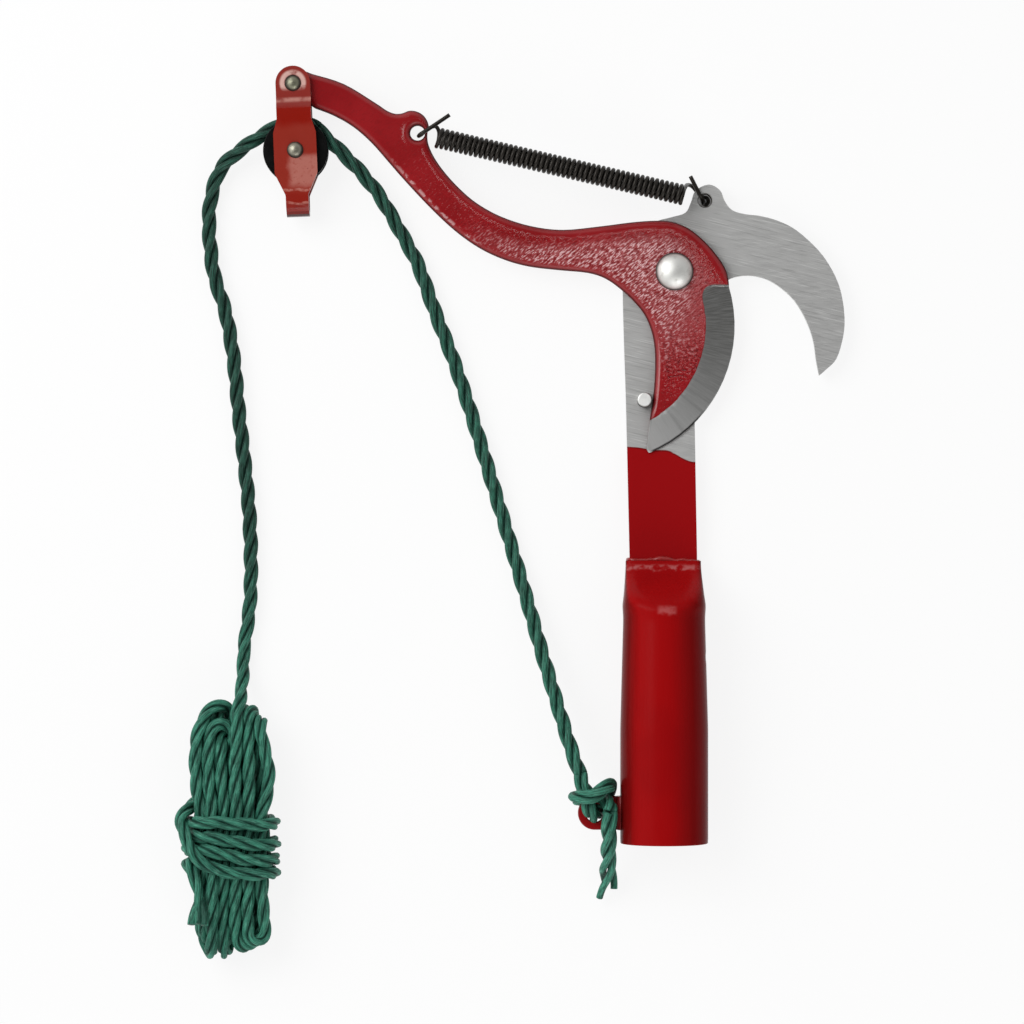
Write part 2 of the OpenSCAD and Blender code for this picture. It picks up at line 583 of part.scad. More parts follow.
echo(spring_gap = self_gap(spring_path, wire_d, 5));
echo(hank_gap = self_gap(hank_path, rope_d, 6));
echo(wrap_gap = self_gap(wrap_path, rope_d, 6));
echo(knot_gap = self_gap(knot_curve, rope_d, 6));

hook_plate();
socket();
socket_weld();
rope_lug();
lug_weld();
pivot_rivet();
pivot_washer();
stop_pin();
cutting_lever();
return_spring();
spring_hook();
pulley_strap();
block_rivet();
pulley_axle();
pulley_wheel();
wheel_bush();
rope_knot();
rope_tail();
rope_standing_line();
rope_over_pulley();
rope_free_line();
rope_hank();
hank_wrap();
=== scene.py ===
"""Head of a tree pruner with its rope, lying on its back on a pale floor, seen from straight above."""
import math

import bmesh
import bpy
import numpy as np
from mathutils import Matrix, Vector, geometry


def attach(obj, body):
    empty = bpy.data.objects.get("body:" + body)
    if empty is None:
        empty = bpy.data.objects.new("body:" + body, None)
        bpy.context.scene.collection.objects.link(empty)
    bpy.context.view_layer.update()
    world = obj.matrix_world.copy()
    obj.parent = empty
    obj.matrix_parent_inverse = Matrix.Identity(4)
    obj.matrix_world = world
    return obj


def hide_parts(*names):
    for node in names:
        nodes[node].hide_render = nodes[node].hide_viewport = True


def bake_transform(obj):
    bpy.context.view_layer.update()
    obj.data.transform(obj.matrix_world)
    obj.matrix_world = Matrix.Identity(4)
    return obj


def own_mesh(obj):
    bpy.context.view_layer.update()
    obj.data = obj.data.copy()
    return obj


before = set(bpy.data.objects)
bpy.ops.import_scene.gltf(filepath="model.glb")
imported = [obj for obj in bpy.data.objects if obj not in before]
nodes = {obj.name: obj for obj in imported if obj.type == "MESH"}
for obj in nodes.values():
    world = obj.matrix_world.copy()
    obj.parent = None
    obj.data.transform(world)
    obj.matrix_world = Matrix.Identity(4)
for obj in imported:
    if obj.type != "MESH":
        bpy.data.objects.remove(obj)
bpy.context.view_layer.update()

MM = 0.001
# Places that shapes and materials share, in millimetres
FLOOR = -16.2
PIVOT = np.array([4.0, 211.0])
PLATE_EYE = PIVOT + (11.4, 26.5)
LEVER_EYE = PIVOT + (-95.0, 51.3)
BLOCK_AT = PIVOT + (-141.0, 69.5)
LEAN = math.radians(2.3)
# The round cutting edge, from the pivot
EDGE_AT = np.array([-28.5, -20.0])
EDGE_R = 50.9
scene = bpy.context.scene
scene.view_settings.view_transform = "Standard"
graph = None


# Shader graphs


class Field:
    """An output of a shader node, with which the materials reckon."""

    def __init__(self, socket):
        self.socket = socket

    def __add__(self, other):
        return maths("ADD", self, other)

    __radd__ = __add__

    def __sub__(self, other):
        return maths("SUBTRACT", self, other)

    def __rsub__(self, other):
        return maths("SUBTRACT", other, self)

    def __mul__(self, other):
        return maths("MULTIPLY", self, other)


class Step:
    """A shader node, whose outputs are read and whose inputs are set by name or number."""

    def __init__(self, made):
        self.made = made

    def __getitem__(self, key):
        return Field(self.made.outputs[key])

    def __setitem__(self, key, value):
        socket = self.made.inputs[key]
        if isinstance(value, Field):
            graph.links.new(value.socket, socket)
        else:
            socket.default_value = (*value, 1.0) if socket.type == "RGBA" else value


def opened(owner):
    """Makes the node tree of a material or the world the one that node() adds to."""
    global graph
    owner.use_nodes = True
    graph = owner.node_tree


def node(kind, inputs=None, **attrs):
    made = graph.nodes.new(kind)
    for key, value in attrs.items():
        setattr(made, key, value)
    step = Step(made)
    for key, value in (inputs or {}).items():
        step[key] = value
    return step


def maths(operation, a, b=0.0):
    return node("ShaderNodeMath", {0: a, 1: b}, operation=operation)[0]


def larger(a, b):
    return maths("MAXIMUM", a, b)


def mixed(factor, a, b, kind="MIX"):
    return node("ShaderNodeMix", {0: factor, 6: a, 7: b}, data_type="RGBA", blend_type=kind)[2]


def ramp(value, low, high):
    """A value taken from 0 at low to 1 at high, smoothly."""
    return node("ShaderNodeMapRange", {0: value, 1: low, 2: high, 3: 0.0, 4: 1.0},
                interpolation_type="SMOOTHSTEP")[0]


def scaled(value, start, end, low=0.3, high=0.7):
    """A value taken from start at low to end at high, evenly; low and high are a noise's usual range."""
    return node("ShaderNodeMapRange", {0: value, 1: low, 2: high, 3: start, 4: end})[0]


def distance(a, b):
    return node("ShaderNodeVectorMath", {0: a, 1: b}, operation="DISTANCE")["Value"]


def length(a):
    return node("ShaderNodeVectorMath", {0: a}, operation="LENGTH")["Value"]


def axes_of(coords):
    step = node("ShaderNodeSeparateXYZ", {0: coords})
    return step[0], step[1], step[2]


def vector(x, y):
    return node("ShaderNodeCombineXYZ", {0: x, 1: y})[0]


def between(value, a, b, c, d):
    """A mask that rises from a to b and falls from c to d."""
    return ramp(value, a, b) * ramp(value, d, c)


def layered(tone, *coats):
    """A colour with others laid over it, each of them where its mask is 1."""
    for mask, color in coats:
        tone = mixed(mask, tone, color)
    return tone


def kept(name):
    """A number that the mesh keeps for each vertex."""
    return node("ShaderNodeAttribute", attribute_name=name)["Fac"]


def turned_grain(coords, degrees, squeeze):
    """Coordinates turned about z and squeezed across, so that a noise on them runs in streaks."""
    inputs = {"Vector": coords, "Rotation": (0.0, 0.0, math.radians(degrees)), "Scale": (1.0, squeeze, 1.0)}
    return node("ShaderNodeMapping", inputs, vector_type="TEXTURE")[0]


def noise(coords, scale, detail=3.0, rough=0.55, stretch=None):
    if stretch is not None:
        coords = node("ShaderNodeMapping", {"Vector": coords, "Scale": stretch})[0]
    inputs = {"Vector": coords, "Scale": scale, "Detail": detail, "Roughness": rough}
    return node("ShaderNodeTexNoise", inputs)[0]


def bump(height, depth, strength=1.0, under=None):
    inputs = {"Height": height, "Distance": depth, "Strength": strength}
    if under is not None:
        inputs["Normal"] = under
    return node("ShaderNodeBump", inputs)[0]


def new_material(name):
    made = bpy.data.materials.new(name)
    opened(made)
    return made, Step(graph.nodes["Principled BSDF"]), node("ShaderNodeTexCoord")["Object"]


def blended(share, first, second):
    return node("ShaderNodeMixShader", {0: share, 1: first[0], 2: second[0]})


def surface(shown):
    """Gives a shader to the material's surface in place of its first one."""
    Step(graph.nodes["Material Output"])["Surface"] = shown[0]


def paint(obj, material):
    obj.data.materials.clear()
    obj.data.materials.append(material)


def dress(obj, material, slot, body, *stands_for):
    """Gives a piece its material and the body that it rides on, and hides the solids that it stands for;
    slot is not used.
    """
    paint(obj, material)
    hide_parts(*stands_for)
    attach(obj, body)


def keep(obj, key, value):
    """Keeps a number for each vertex of a piece, for its material."""
    layer = obj.data.attributes.new(key, "FLOAT", "POINT")
    layer.data.foreach_set("value", value.astype(np.float32))


# Materials


def red_enamel(name, color, dark, grain, rough, gloss=0.5):
    """Brushed-on or sprayed red enamel, with grain as the depth of its orange peel in millimetres."""
    made, shader, spot = new_material(name)
    cloud = noise(spot, 45, 3)
    fine = noise(spot, 420, 4)
    shader["Specular IOR Level"] = gloss
    shader["Base Color"] = mixed(ramp(cloud, 0.3, 0.72), dark, color)
    shader["Roughness"] = scaled(fine, rough * 0.8, rough * 1.3)
    peel = noise(spot, 620, 2, 0.5)
    slow = noise(spot, 130, 2, 0.5)
    shader["Normal"] = bump(peel + slow * 0.6, grain * MM)
    return made


def lever_paint():
    """Red enamel that wrinkles inside the rounded edges of the forging, and the ground steel of its edge."""
    made, shader, spot = new_material("lever_paint")
    x, y, _ = axes_of(spot)
    inset = kept("inset")
    slanted = turned_grain(spot, 38, 0.3)
    streaks = noise(slanted, 540, 2.5, 0.6)
    waves = noise(turned_grain(spot, 8, 0.62), 680, 2.5)
    low_part = ramp(y, 0.198, 0.18)
    peel = node("ShaderNodeMix", {0: low_part, 2: streaks, 3: waves}, data_type="FLOAT")[0]
    cells = node("ShaderNodeTexVoronoi", {"Vector": slanted, "Scale": 800, "Smoothness": 0.3},
                 feature="SMOOTH_F1")["Distance"]
    cloud = noise(spot, 55, 3)
    height = cells * -0.35 + peel * 1.6
    lower = ramp(x * 0.55 - y + cloud * 0.05, -0.275, -0.215) * ramp(y + x * -0.35, 0.166, 0.176)
    inner = ramp(inset + cloud * 1.6, 2.3, 5)
    depth = inner * (lower * 0.72 + 0.28)
    away = distance(vector(x, y), (-0.004, 0.216, 0))
    calm = scaled(away, 0.85, 1.1, 0.008, 0.045)
    depth = depth * (calm * (low_part * 0.9 + 1))
    slow = bump(noise(spot, 120, 2), 0.1 * MM, 0.6)
    shader["Normal"] = bump(height * depth, 0.055 * MM, 1, slow)
    # Painted shade: the creases of the wrinkles are painted darker.
    crease = ramp(peel, 0.49, 0.38) * (depth * 0.7)
    belly = kept("belly")
    # Painted sheen: a pale haze over the lower part of the head and arms, standing in for the lamp's
    # reflection.
    reach = length(vector((x + 0.02) * (1 / 0.056), (y - 0.212) * (1 / 0.042)))
    under = ramp(kept("crown") + (cloud - 0.5) * 4, 4.5, 9.5)
    painted_sheen = ramp(reach, 1.08, 0.4) * (under * ramp(belly, 1.2, 2.8))
    # Painted highlights: pale crests of the wrinkles inside the painted sheen, fading right of the dome
    # above the blade.
    fading = larger(ramp(x, 0.015, 0.003), low_part)
    crest = ramp(peel - (cells - 0.45) * 0.12, 0.51, 0.61) * fading
    # Painted shade: dark dents between the wrinkles inside the painted sheen.
    dent = ramp(peel, 0.48, 0.4) * (painted_sheen * 0.95)
    # Painted highlights: small pale specks where the wrinkles catch the light.
    specks_and_glints = ramp(peel, 0.62, 0.67) * (inner * ramp(reach, 1.9, 1))
    gleam = between(belly, 0.7, 1.1, 1.5, 2.4) * between(x, -0.104, -0.092, -0.074, -0.062)
    gleam = gleam * ramp(noise(spot, 520, 2), 0.46, 0.56)
    # The last coat is painted shade, darkening the colour along the rounded edges.
    shader["Base Color"] = layered(
        mixed(ramp(cloud, 0.3, 0.7), (0.225, 0.006, 0.008), (0.275, 0.009, 0.012)),
        (crease, (0.13, 0.003, 0.005)), (painted_sheen * 0.62, (0.37, 0.085, 0.09)),
        (crest * painted_sheen * 0.9, (0.74, 0.49, 0.5)), (dent, (0.17, 0.006, 0.008)),
        (specks_and_glints * 0.45, (0.46, 0.2, 0.2)), (gleam * 0.55, (0.6, 0.38, 0.38)),
        (1.0 - ramp(inset, 0.1, 0.7), (0.07, 0.003, 0.004)))
    shader["Roughness"] = scaled(peel, 0.15, 0.1) + ramp(inset, 1.5, 0.7) * 0.4
    bare_steel = node("ShaderNodeBsdfPrincipled", {"Metallic": 1, "Roughness": 0.36})
    centre = (PIVOT + EDGE_AT) * MM
    across, up = x - float(centre[0]), y - float(centre[1])
    turn = maths("ARCTAN2", up, across)
    polar = vector(turn * 0.05, length(vector(across, up)) * 0.05)
    lines = noise(polar, 2600, 4, 0.65)
    bands = noise(polar, 420, 2, 0.5)
    # Painted shadow: a near-black line along the ground edge near the blade's tip, for the shadow the blade
    # casts on the plate.
    edge_shadow = ramp(inset, 0.9, 0.35) * ramp(y, 0.161, 0.155) * ramp(x, -0.0052, -0.0036)
    # Painted reflection: the ground bevel is light at the lower end of its arc and dark at the upper end, as
    # it turns.
    bare_steel["Base Color"] = layered(
        mixed(ramp(turn, -1.1, 0.2), (0.46, 0.46, 0.455), (0.2, 0.2, 0.193)),
        (ramp(lines, 0.35, 0.7) * 0.4, (0.52, 0.52, 0.51)),
        (ramp(bands, 0.5, 0.7) * 0.35, (0.16, 0.16, 0.155)), (edge_shadow * 0.94, (0.012, 0.012, 0.012)))
    bare_steel["Normal"] = bump(lines, 0.05 * MM, 0.7)
    bare = ramp(kept("ground") + (noise(spot, 300, 2) - 0.5) * 0.7, 0.05, 0.3)
    # Painted shade: a dark, dull shader blended in along the rounded edges.
    side = node("ShaderNodeBsdfPrincipled", {"Roughness": 0.5, "Specular IOR Level": 0.06})
    side["Base Color"] = (0.085, 0.004, 0.005)
    rim = 1.0 - ramp(inset, 0.15, 0.75)
    surface(blended(bare, blended(rim, shader, side), bare_steel))
    return made


def plate_finish():
    """Brushed sheet steel, with the lower shank dipped in red."""
    made, shader, spot = new_material("plate_finish")
    x, y, _ = axes_of(spot)
    lines = noise(spot, 60, 4, 0.65, (3, 60, 1))
    cloud = noise(spot, 30, 3)
    scratch = noise(turned_grain(spot, -14, 0.03), 70, 2, 0.6)
    # Painted shade: the plate is painted near black inside its eye and just round it.
    from_eye = distance(vector(x, y), (*PLATE_EYE * MM, 0))
    shader["Base Color"] = layered(
        mixed(lines, (0.46, 0.46, 0.455), (0.63, 0.63, 0.62)),
        (ramp(cloud, 0.45, 0.75) * 0.25, (0.4, 0.396, 0.385)),
        (ramp(scratch, 0.56, 0.68) * 0.5, (0.35, 0.35, 0.345)),
        (ramp(scratch, 0.42, 0.3) * 0.5, (0.8, 0.8, 0.79)),
        (ramp(from_eye, 0.003, 0.0024), (0.03, 0.024, 0.018)))
    shader["Metallic"] = 1.0
    shader["Roughness"] = scaled(lines, 0.48, 0.62)
    shader["Normal"] = bump(lines, 0.02 * MM, 0.5)
    red = node("ShaderNodeBsdfPrincipled", {"Roughness": 0.16, "Specular IOR Level": 0.2})
    red["Normal"] = bump(noise(spot, 300, 2), 0.05 * MM, 0.6)
    wave = (noise(spot, 110, 2) - 0.5) * 0.0012
    fall = ramp(x, -0.0128, -0.0002) * 0.0012 + ramp(x, -0.0002, 0.0117) * 0.0044
    line = y + fall + wave
    red["Base Color"] = mixed(ramp(line, 0.1454, 0.1461) * 0.6, (0.29, 0.0035, 0.005), (0.07, 0.004, 0.004))
    surface(blended(ramp(line, 0.1464, 0.1461), shader, red))
    return made


def steel(name, color, rough, spots, dark, ring=None):
    """Plain steel of a rivet, with blotches, and painted shade from low to high round the centre of its
    ring.
    """
    made, shader, spot = new_material(name)
    cloud = noise(spot, 260, 4, 0.6)
    tone = mixed(ramp(cloud, 0.5, 0.75) * spots, color, dark)
    # Painted shade: a dark ring round the edge of the head, from radius low to high.
    if ring is not None:
        centre, low, high = ring
        x, y, _ = axes_of(spot)
        away = distance(vector(x, y), (centre[0] * MM, centre[1] * MM, 0))
        tone = mixed(ramp(away, low * MM, high * MM) * 0.92, tone, (0.05, 0.045, 0.04))
    shader["Base Color"] = tone
    shader["Metallic"] = 1.0
    shader["Roughness"] = scaled(cloud, rough * 0.8, rough * 1.3)
    shader["Normal"] = bump(noise(spot, 700, 3), 0.06 * MM, 0.6)
    return made


def strap_paint():
    """Orange-red enamel with painted highlights round the rivet and at the joggle, a painted reflection
    below the axle and painted shade on its sides.
    """
    made, shader, spot = new_material("strap_red")
    x, y, _ = axes_of(spot)
    sine, cosine = math.sin(LEAN) / MM, math.cos(LEAN) / MM
    px = x - float(BLOCK_AT[0] * MM)
    py = y - float(BLOCK_AT[1] * MM)
    down = px * sine - py * cosine
    across = px * cosine + py * sine
    reach = length(vector(across, down))
    cloud = noise(spot, 190, 3)
    fine = noise(spot, 620, 3)
    wavy = down + (cloud - 0.5) * 2.4
    # Painted reflection: a pale patch below the axle.
    pale = between(wavy, 25.5, 28, 36.5, 40) * ramp(across + cloud * 5, -1.6, 1.6)
    pale = pale * ramp(fine, 0.05, 0.5)
    # Painted highlight: a pale ring round the upper side of the rivet.
    rivet_highlight = between(reach, 2.8, 3.4, 4.3, 5.3) * ramp(down, 3.2, 1) * ramp(cloud, 0.3, 0.5)
    # Painted highlight: a pale band across the joggle.
    fold = between(down, 4.9, 5.9, 6.3, 7.6) * ramp(cloud, 0.36, 0.62)
    # Painted highlights: pale lines along two creases of the tongue.
    crease_highlights = [between(wavy, at - 0.6, at - 0.2, at + 0.2, at + 0.7) for at in (39.6, 44.4)]
    # Dark specks of dirt below the axle.
    specks_and_glints = ramp(fine, 0.66, 0.7) * ramp(down, 25, 30)
    # Painted shade: the side walls are painted dark maroon.
    facing = axes_of(node("ShaderNodeNewGeometry")["Normal"])[2]
    shader["Base Color"] = layered(
        mixed(ramp(wavy, 13.5, 17.5), (0.225, 0.008, 0.0035), (0.25, 0.023, 0.014)),
        (ramp(wavy, 9.8, 7.8), (0.235, 0.026, 0.02)), (ramp(wavy, 39.5, 41.5), (0.235, 0.014, 0.008)),
        (pale * 0.66, (0.46, 0.185, 0.15)), (rivet_highlight * 0.9, (0.66, 0.42, 0.37)), (fold * 0.6, (0.6, 0.3, 0.25)),
        *[(crease * ramp(fine, 0.3, 0.55) * 0.55, (0.5, 0.21, 0.17)) for crease in crease_highlights],
        (specks_and_glints * 0.5, (0.13, 0.012, 0.01)), (ramp(facing, 0.75, 0.35), (0.045, 0.004, 0.004)))
    shader["Specular IOR Level"] = 0.2
    shader["Roughness"] = scaled(cloud, 0.16, 0.24)
    shader["Normal"] = bump(cloud + fine * 0.3, 0.06 * MM, 0.7)
    return made


def socket_paint():
    """Deep translucent red on the rolled tube, bright on its crown, with painted shade to maroon at its
    sides and painted highlights on its lip and shoulder.
    """
    made, shader, spot = new_material("socket_red")
    runs = noise(spot, 1, 3, 0.55, (420, 26, 420))
    cloud = noise(spot, 38, 2)
    # Painted shade: the colour turns maroon where the tube's surface tilts to either side.
    tilt = axes_of(node("ShaderNodeNewGeometry")["Normal"])[0] + (runs - 0.5) * 0.18
    sides = larger(ramp(tilt, 0.08, 1.05), ramp(tilt, -0.58, -0.92))
    x, y, _ = axes_of(spot)
    grit = noise(spot, 320, 3)
    wavy = y + (grit - 0.5) * 0.003
    # Painted highlight: a pale wavy line along the top edge of the tube.
    lip = between(wavy, 0.1002, 0.1014, 0.102, 0.1032) * ramp(grit, 0.38, 0.6)
    # Painted highlight: a pale patch on the crest of the shoulder.
    shoulder_highlight = between(wavy, 0.0838, 0.0856, 0.0868, 0.0884) * between(x, -0.0035, -0.0015, 0.0028, 0.0048)
    shoulder_highlight = shoulder_highlight * ramp(grit, 0.3, 0.55)
    shader["Base Color"] = layered(
        mixed(sides, (0.3, 0.0034, 0.0042), (0.122, 0.003, 0.003)),
        (ramp(cloud, 0.45, 0.7) * 0.25, (0.18, 0.003, 0.004)), (lip * 0.55, (0.5, 0.17, 0.17)),
        (shoulder_highlight * 0.42, (0.52, 0.15, 0.15)))
    shader["Specular IOR Level"] = 0.03
    shader["Roughness"] = scaled(runs, 0.22, 0.32)
    shader["Normal"] = bump(runs, 0.03 * MM, 0.5)
    return made


def plain(name, color, rough, metal=0, grain=300, depth=0.05, gloss=0.5):
    made, shader, spot = new_material(name)
    shader["Specular IOR Level"] = gloss
    cloud = noise(spot, grain, 4, 0.6)
    shader["Base Color"] = mixed(cloud, tuple(0.6 * c for c in color), color)
    shader["Metallic"] = metal
    shader["Roughness"] = scaled(cloud, rough * 0.8, rough * 1.25)
    shader["Normal"] = bump(cloud, depth * MM, 0.7)
    return made


def rope_fibre():
    """Split-film fibres that run along each strand, with painted shade in the grooves between the strands.
    """
    made, shader, spot = new_material("rope_fibre")
    strand = node("ShaderNodeTexCoord")["UV"]
    fibres = noise(strand, 1, 3, 0.6, (8, 5, 1))
    threads = noise(strand, 1, 2, 0.6, (20, 9, 1))
    blotch = noise(spot, 70, 3)
    # The last coat is painted shade in the grooves between the strands.
    tone = mixed(ramp(fibres, 0.34, 0.66), (0.01, 0.066, 0.044), (0.05, 0.27, 0.18))
    tone = layered(tone, (ramp(threads, 0.52, 0.68) * 0.55, (0.165, 0.455, 0.33)),
                   (ramp(threads, 0.46, 0.32) * 0.6, (0.006, 0.04, 0.028)),
                   (ramp(blotch, 0.5, 0.75) * 0.35, (0.008, 0.05, 0.036)),
                   (ramp(kept("groove"), 0.26, 0.62) * 0.62, (0.004, 0.022, 0.016)))
    shader["Base Color"] = mixed(kept("dim"), tone, (0.34, 0.34, 0.34), "MULTIPLY")
    shader["Roughness"] = scaled(fibres, 0.62, 0.42)
    shader["Specular IOR Level"] = 0.22
    shader["Sheen Weight"] = 0.03
    shader["Sheen Roughness"] = 0.4
    shader["Sheen Tint"] = (0.35, 0.75, 0.6)
    shader["Normal"] = bump(fibres + threads * 0.5, 0.4 * MM, 0.9)
    return made


socket_red = socket_paint()
lug_red = red_enamel("lug_red", (0.26, 0.0034, 0.0045), (0.20, 0.003, 0.004), 0.03, 0.3, gloss=0.2)
# The weld's red is paler and pinker than the socket's, a painted highlight on the bead.
weld_red = red_enamel("weld_red", (0.34, 0.030, 0.030), (0.25, 0.008, 0.008), 0.12, 0.26)
strap_red = strap_paint()
lever_red = lever_paint()
plate_steel = plate_finish()
dome_steel = steel("dome_steel", (0.80, 0.80, 0.77), 0.5, 0.5, (0.42, 0.41, 0.38), (PIVOT, 5.9, 6.9))
stop_steel = steel("stop_steel", (0.95, 0.95, 0.93), 0.55, 0.3, (0.5, 0.49, 0.47), ((-7.2, 163.7), 2.2, 2.8))
rivet_dark = steel("rivet_dark", (0.17, 0.16, 0.13), 0.42, 0.6, (0.03, 0.028, 0.022))
block_dark = steel("block_dark", (0.26, 0.26, 0.19), 0.42, 0.7, (0.05, 0.05, 0.035), (BLOCK_AT, 1.7, 2.7))
axle_dark = steel("axle_dark", (0.30, 0.29, 0.23), 0.40, 0.5, (0.07, 0.065, 0.05),
                  ((-136.2, 255.9), 1.9, 2.9))
spring_black = plain("spring_black", (0.024, 0.020, 0.016), 0.36, 0.6, 900.0, 0.03)
wheel_black = plain("wheel_black", (0.004, 0.004, 0.004), 0.34, gloss=0.08)
bush_brass = plain("bush_brass", (0.60, 0.42, 0.16), 0.3, 1.0)
rope_green = rope_fibre()


# Paths, in millimetres

ROPE_D = 5.0
# Length of one turn of the strands
LAY = 30.0
# How much thicker the rope is where it runs free
SLACK = 1.13
# Radius of a strand, and how far it lies from the rope's middle
STRAND_R = 1.19
STRAND_OFF = 1.33


def stations(p):
    """How far along a path each of its points lies."""
    return np.concatenate([[0.0], np.cumsum(np.linalg.norm(np.diff(p, axis=0), axis=1))])


def dense(points, step=0.4):
    """The path through points, in even steps."""
    p = np.array(points, float)
    gap = np.linalg.norm(np.diff(p, axis=0), axis=1)
    p = p[np.concatenate([[True], gap > 1e-6])]
    s = stations(p)
    at = np.linspace(0.0, s[-1], max(2, int(round(s[-1] / step)) + 1))
    return np.stack([np.interp(at, s, p[:, k]) for k in range(3)], axis=1)


def smoothed(points, sigma, step=0.4):
    """The path through points, rounded off over about sigma millimetres, with its ends kept."""
    p = dense(points, step)
    reach = int(math.ceil(3 * sigma / step))
    kernel = np.exp(-0.5 * (np.arange(-reach, reach + 1) * step / sigma) ** 2)
    kernel /= kernel.sum()
    first = 2 * p[0] - p[reach:0:-1]
    last = 2 * p[-1] - p[-2:-reach - 2:-1]
    padded = np.concatenate([first, p, last])
    return np.stack([np.convolve(padded[:, k], kernel, "valid") for k in range(3)], axis=1)


def through(points, steps):
    """A smooth curve through points."""
    p = np.array(points, float)
    out = []
    for i in range(len(p) - 1):
        a, b, c, d = p[max(i - 1, 0)], p[i], p[i + 1], p[min(i + 2, len(p) - 1)]
        for k in range(steps):
            t = k / steps
            out.append(0.5 * (2 * b + (c - a) * t + (2 * a - 5 * b + 4 * c - d) * t * t
                              + (3 * b - a - 3 * c + d) * t ** 3))
    out.append(p[-1])
    return np.array(out)


def carried_frames(p):
    """Two directions across a path, carried along it without twisting."""
    t = np.gradient(p, axis=0)
    t /= np.linalg.norm(t, axis=1)[:, None]
    u = np.zeros_like(t)
    first = np.cross(t[0], (0, 0, 1) if abs(t[0][2]) < 0.8 else (1, 0, 0))
    u[0] = first / np.linalg.norm(first)
    for i in range(1, len(p)):
        w = u[i - 1] - u[i - 1].dot(t[i]) * t[i]
        u[i] = w / np.linalg.norm(w)
    return u, np.cross(t, u)


def mesh_object(name, vertices, faces, uvs=None, smooth=True):
    mesh = bpy.data.meshes.new(name)
    mesh.from_pydata([tuple(v) for v in np.asarray(vertices) * MM], [], [list(map(int, f)) for f in faces])
    if uvs is not None:
        flat = np.array([uvs[i] for f in faces for i in f], np.float32).reshape(-1)
        mesh.uv_layers.new(name="strand").data.foreach_set("uv", flat)
    if smooth:
        mesh.polygons.foreach_set("use_smooth", [True] * len(mesh.polygons))
    mesh.update()
    obj = bpy.data.objects.new(name, mesh)
    scene.collection.objects.link(obj)
    return obj


def tube_parts(p, radius, sides, start=0.0):
    """Vertices, faces and strand coordinates of a round tube with closed ends."""
    u, v = carried_frames(p)
    r = np.broadcast_to(radius, (len(p),))
    a = 2 * np.pi * np.arange(sides) / sides
    ring = np.cos(a)[None, :, None] * u[:, None] + np.sin(a)[None, :, None] * v[:, None]
    vertices = (p[:, None] + r[:, None, None] * ring).reshape(-1, 3)
    s = start + stations(p)
    wrap = np.abs(2 * np.arange(sides) / sides - 1)
    shape = (len(p), sides)
    uvs = np.stack([np.broadcast_to(wrap, shape), np.broadcast_to(s[:, None] / LAY, shape)], axis=2)
    faces = []
    for i in range(len(p) - 1):
        for k in range(sides):
            j = (k + 1) % sides
            faces.append((i * sides + k, i * sides + j, (i + 1) * sides + j, (i + 1) * sides + k))
    last = (len(p) - 1) * sides
    faces.append(tuple(range(sides - 1, -1, -1)))
    faces.append(tuple(last + k for k in range(sides)))
    return vertices, faces, uvs.reshape(-1, 2)


def joined(parts):
    vertices, faces, uvs = zip(*parts)
    starts = np.cumsum([0] + [len(v) for v in vertices])
    faces = [tuple(n + i for i in f) for n, some in zip(starts, faces) for f in some]
    return np.concatenate(vertices), faces, np.concatenate(uvs)


def laid_rope(name, path, body, stands_for, phase=0.0, open_from=None, cuts=(0.0, 0.0, 0.0), spread=0.0,
              swell=((0.0,), (1.0,)), aim=None, dim=((0.0,), (0.0,)), fan=None, after=None):
    """A rope of three strands along a path.

    After open_from millimetres the strands part, and cuts shorten them. aim is where the first strand ends,
    fan lays the parted strands side by side, swell and dim are how thick and how dark the rope is along its
    length, and after is where the first strand of the rope before it ended.
    """
    p = dense(path, 0.9)
    sides = 10
    u, v = carried_frames(p)
    s = stations(p)
    parts, grooves, shades = [], [], []
    if aim is not None:
        phase = math.atan2(np.dot(aim, v[-1]), np.dot(aim, u[-1])) - 2 * np.pi * s[-1] / LAY + 0.9
    if after is not None:
        phase = math.atan2(np.dot(after, v[0]), np.dot(after, u[0]))
    for k in range(3):
        a = phase + 2 * np.pi * (k / 3 + s / LAY)
        full = np.interp(s, *swell)
        off = STRAND_OFF * full
        size = STRAND_R * full
        if open_from is not None:
            loose = np.clip((s - open_from) / max(s[-1] - open_from, 1e-6), 0, 1)
            off = off + spread * loose ** 1.3
            size = size * (1 - 0.12 * loose)
            a = a - 0.9 * loose ** 2
        outward = np.cos(a)[:, None] * u + np.sin(a)[:, None] * v
        line = p + off[:, None] * outward
        if fan is not None:
            size = size * (1 + 0.42 * loose)
            ease = (loose ** 2 * (3 - 2 * loose))[:, None]
            line = p + (1 - ease) * off[:, None] * outward + ease * (k - 1) * 2.5 * np.array(fan)
        left = s <= s[-1] - cuts[k]
        part = tube_parts(line[left], size[left], sides, 37.0 * k)
        # How far each vertex faces into the rope, for the painted shade in its grooves.
        spoke = part[0].reshape(-1, sides, 3) - line[left][:, None]
        facing = (spoke * outward[left][:, None]).sum(axis=2) / size[left][:, None]
        grooves.append(0.5 - 0.5 * facing.reshape(-1))
        shades.append(np.repeat(np.interp(s[left], *dim), sides))
        parts.append(part)
    obj = mesh_object(name, *joined(parts))
    keep(obj, "groove", np.concatenate(grooves))
    keep(obj, "dim", np.concatenate(shades))
    dress(obj, rope_green, "rope", body, *stands_for)
    end = phase + 2 * np.pi * s[-1] / LAY
    return obj, p, math.cos(end) * u[-1] + math.sin(end) * v[-1]


def metres(p, every=3):
    return [tuple(p[i] * MM) for i in [*range(0, len(p) - 1, every), len(p) - 1]]


def length_of(p):
    return float(np.linalg.norm(np.diff(p, axis=0), axis=1).sum()) * MM


# Routes of the rope, near those of the solids

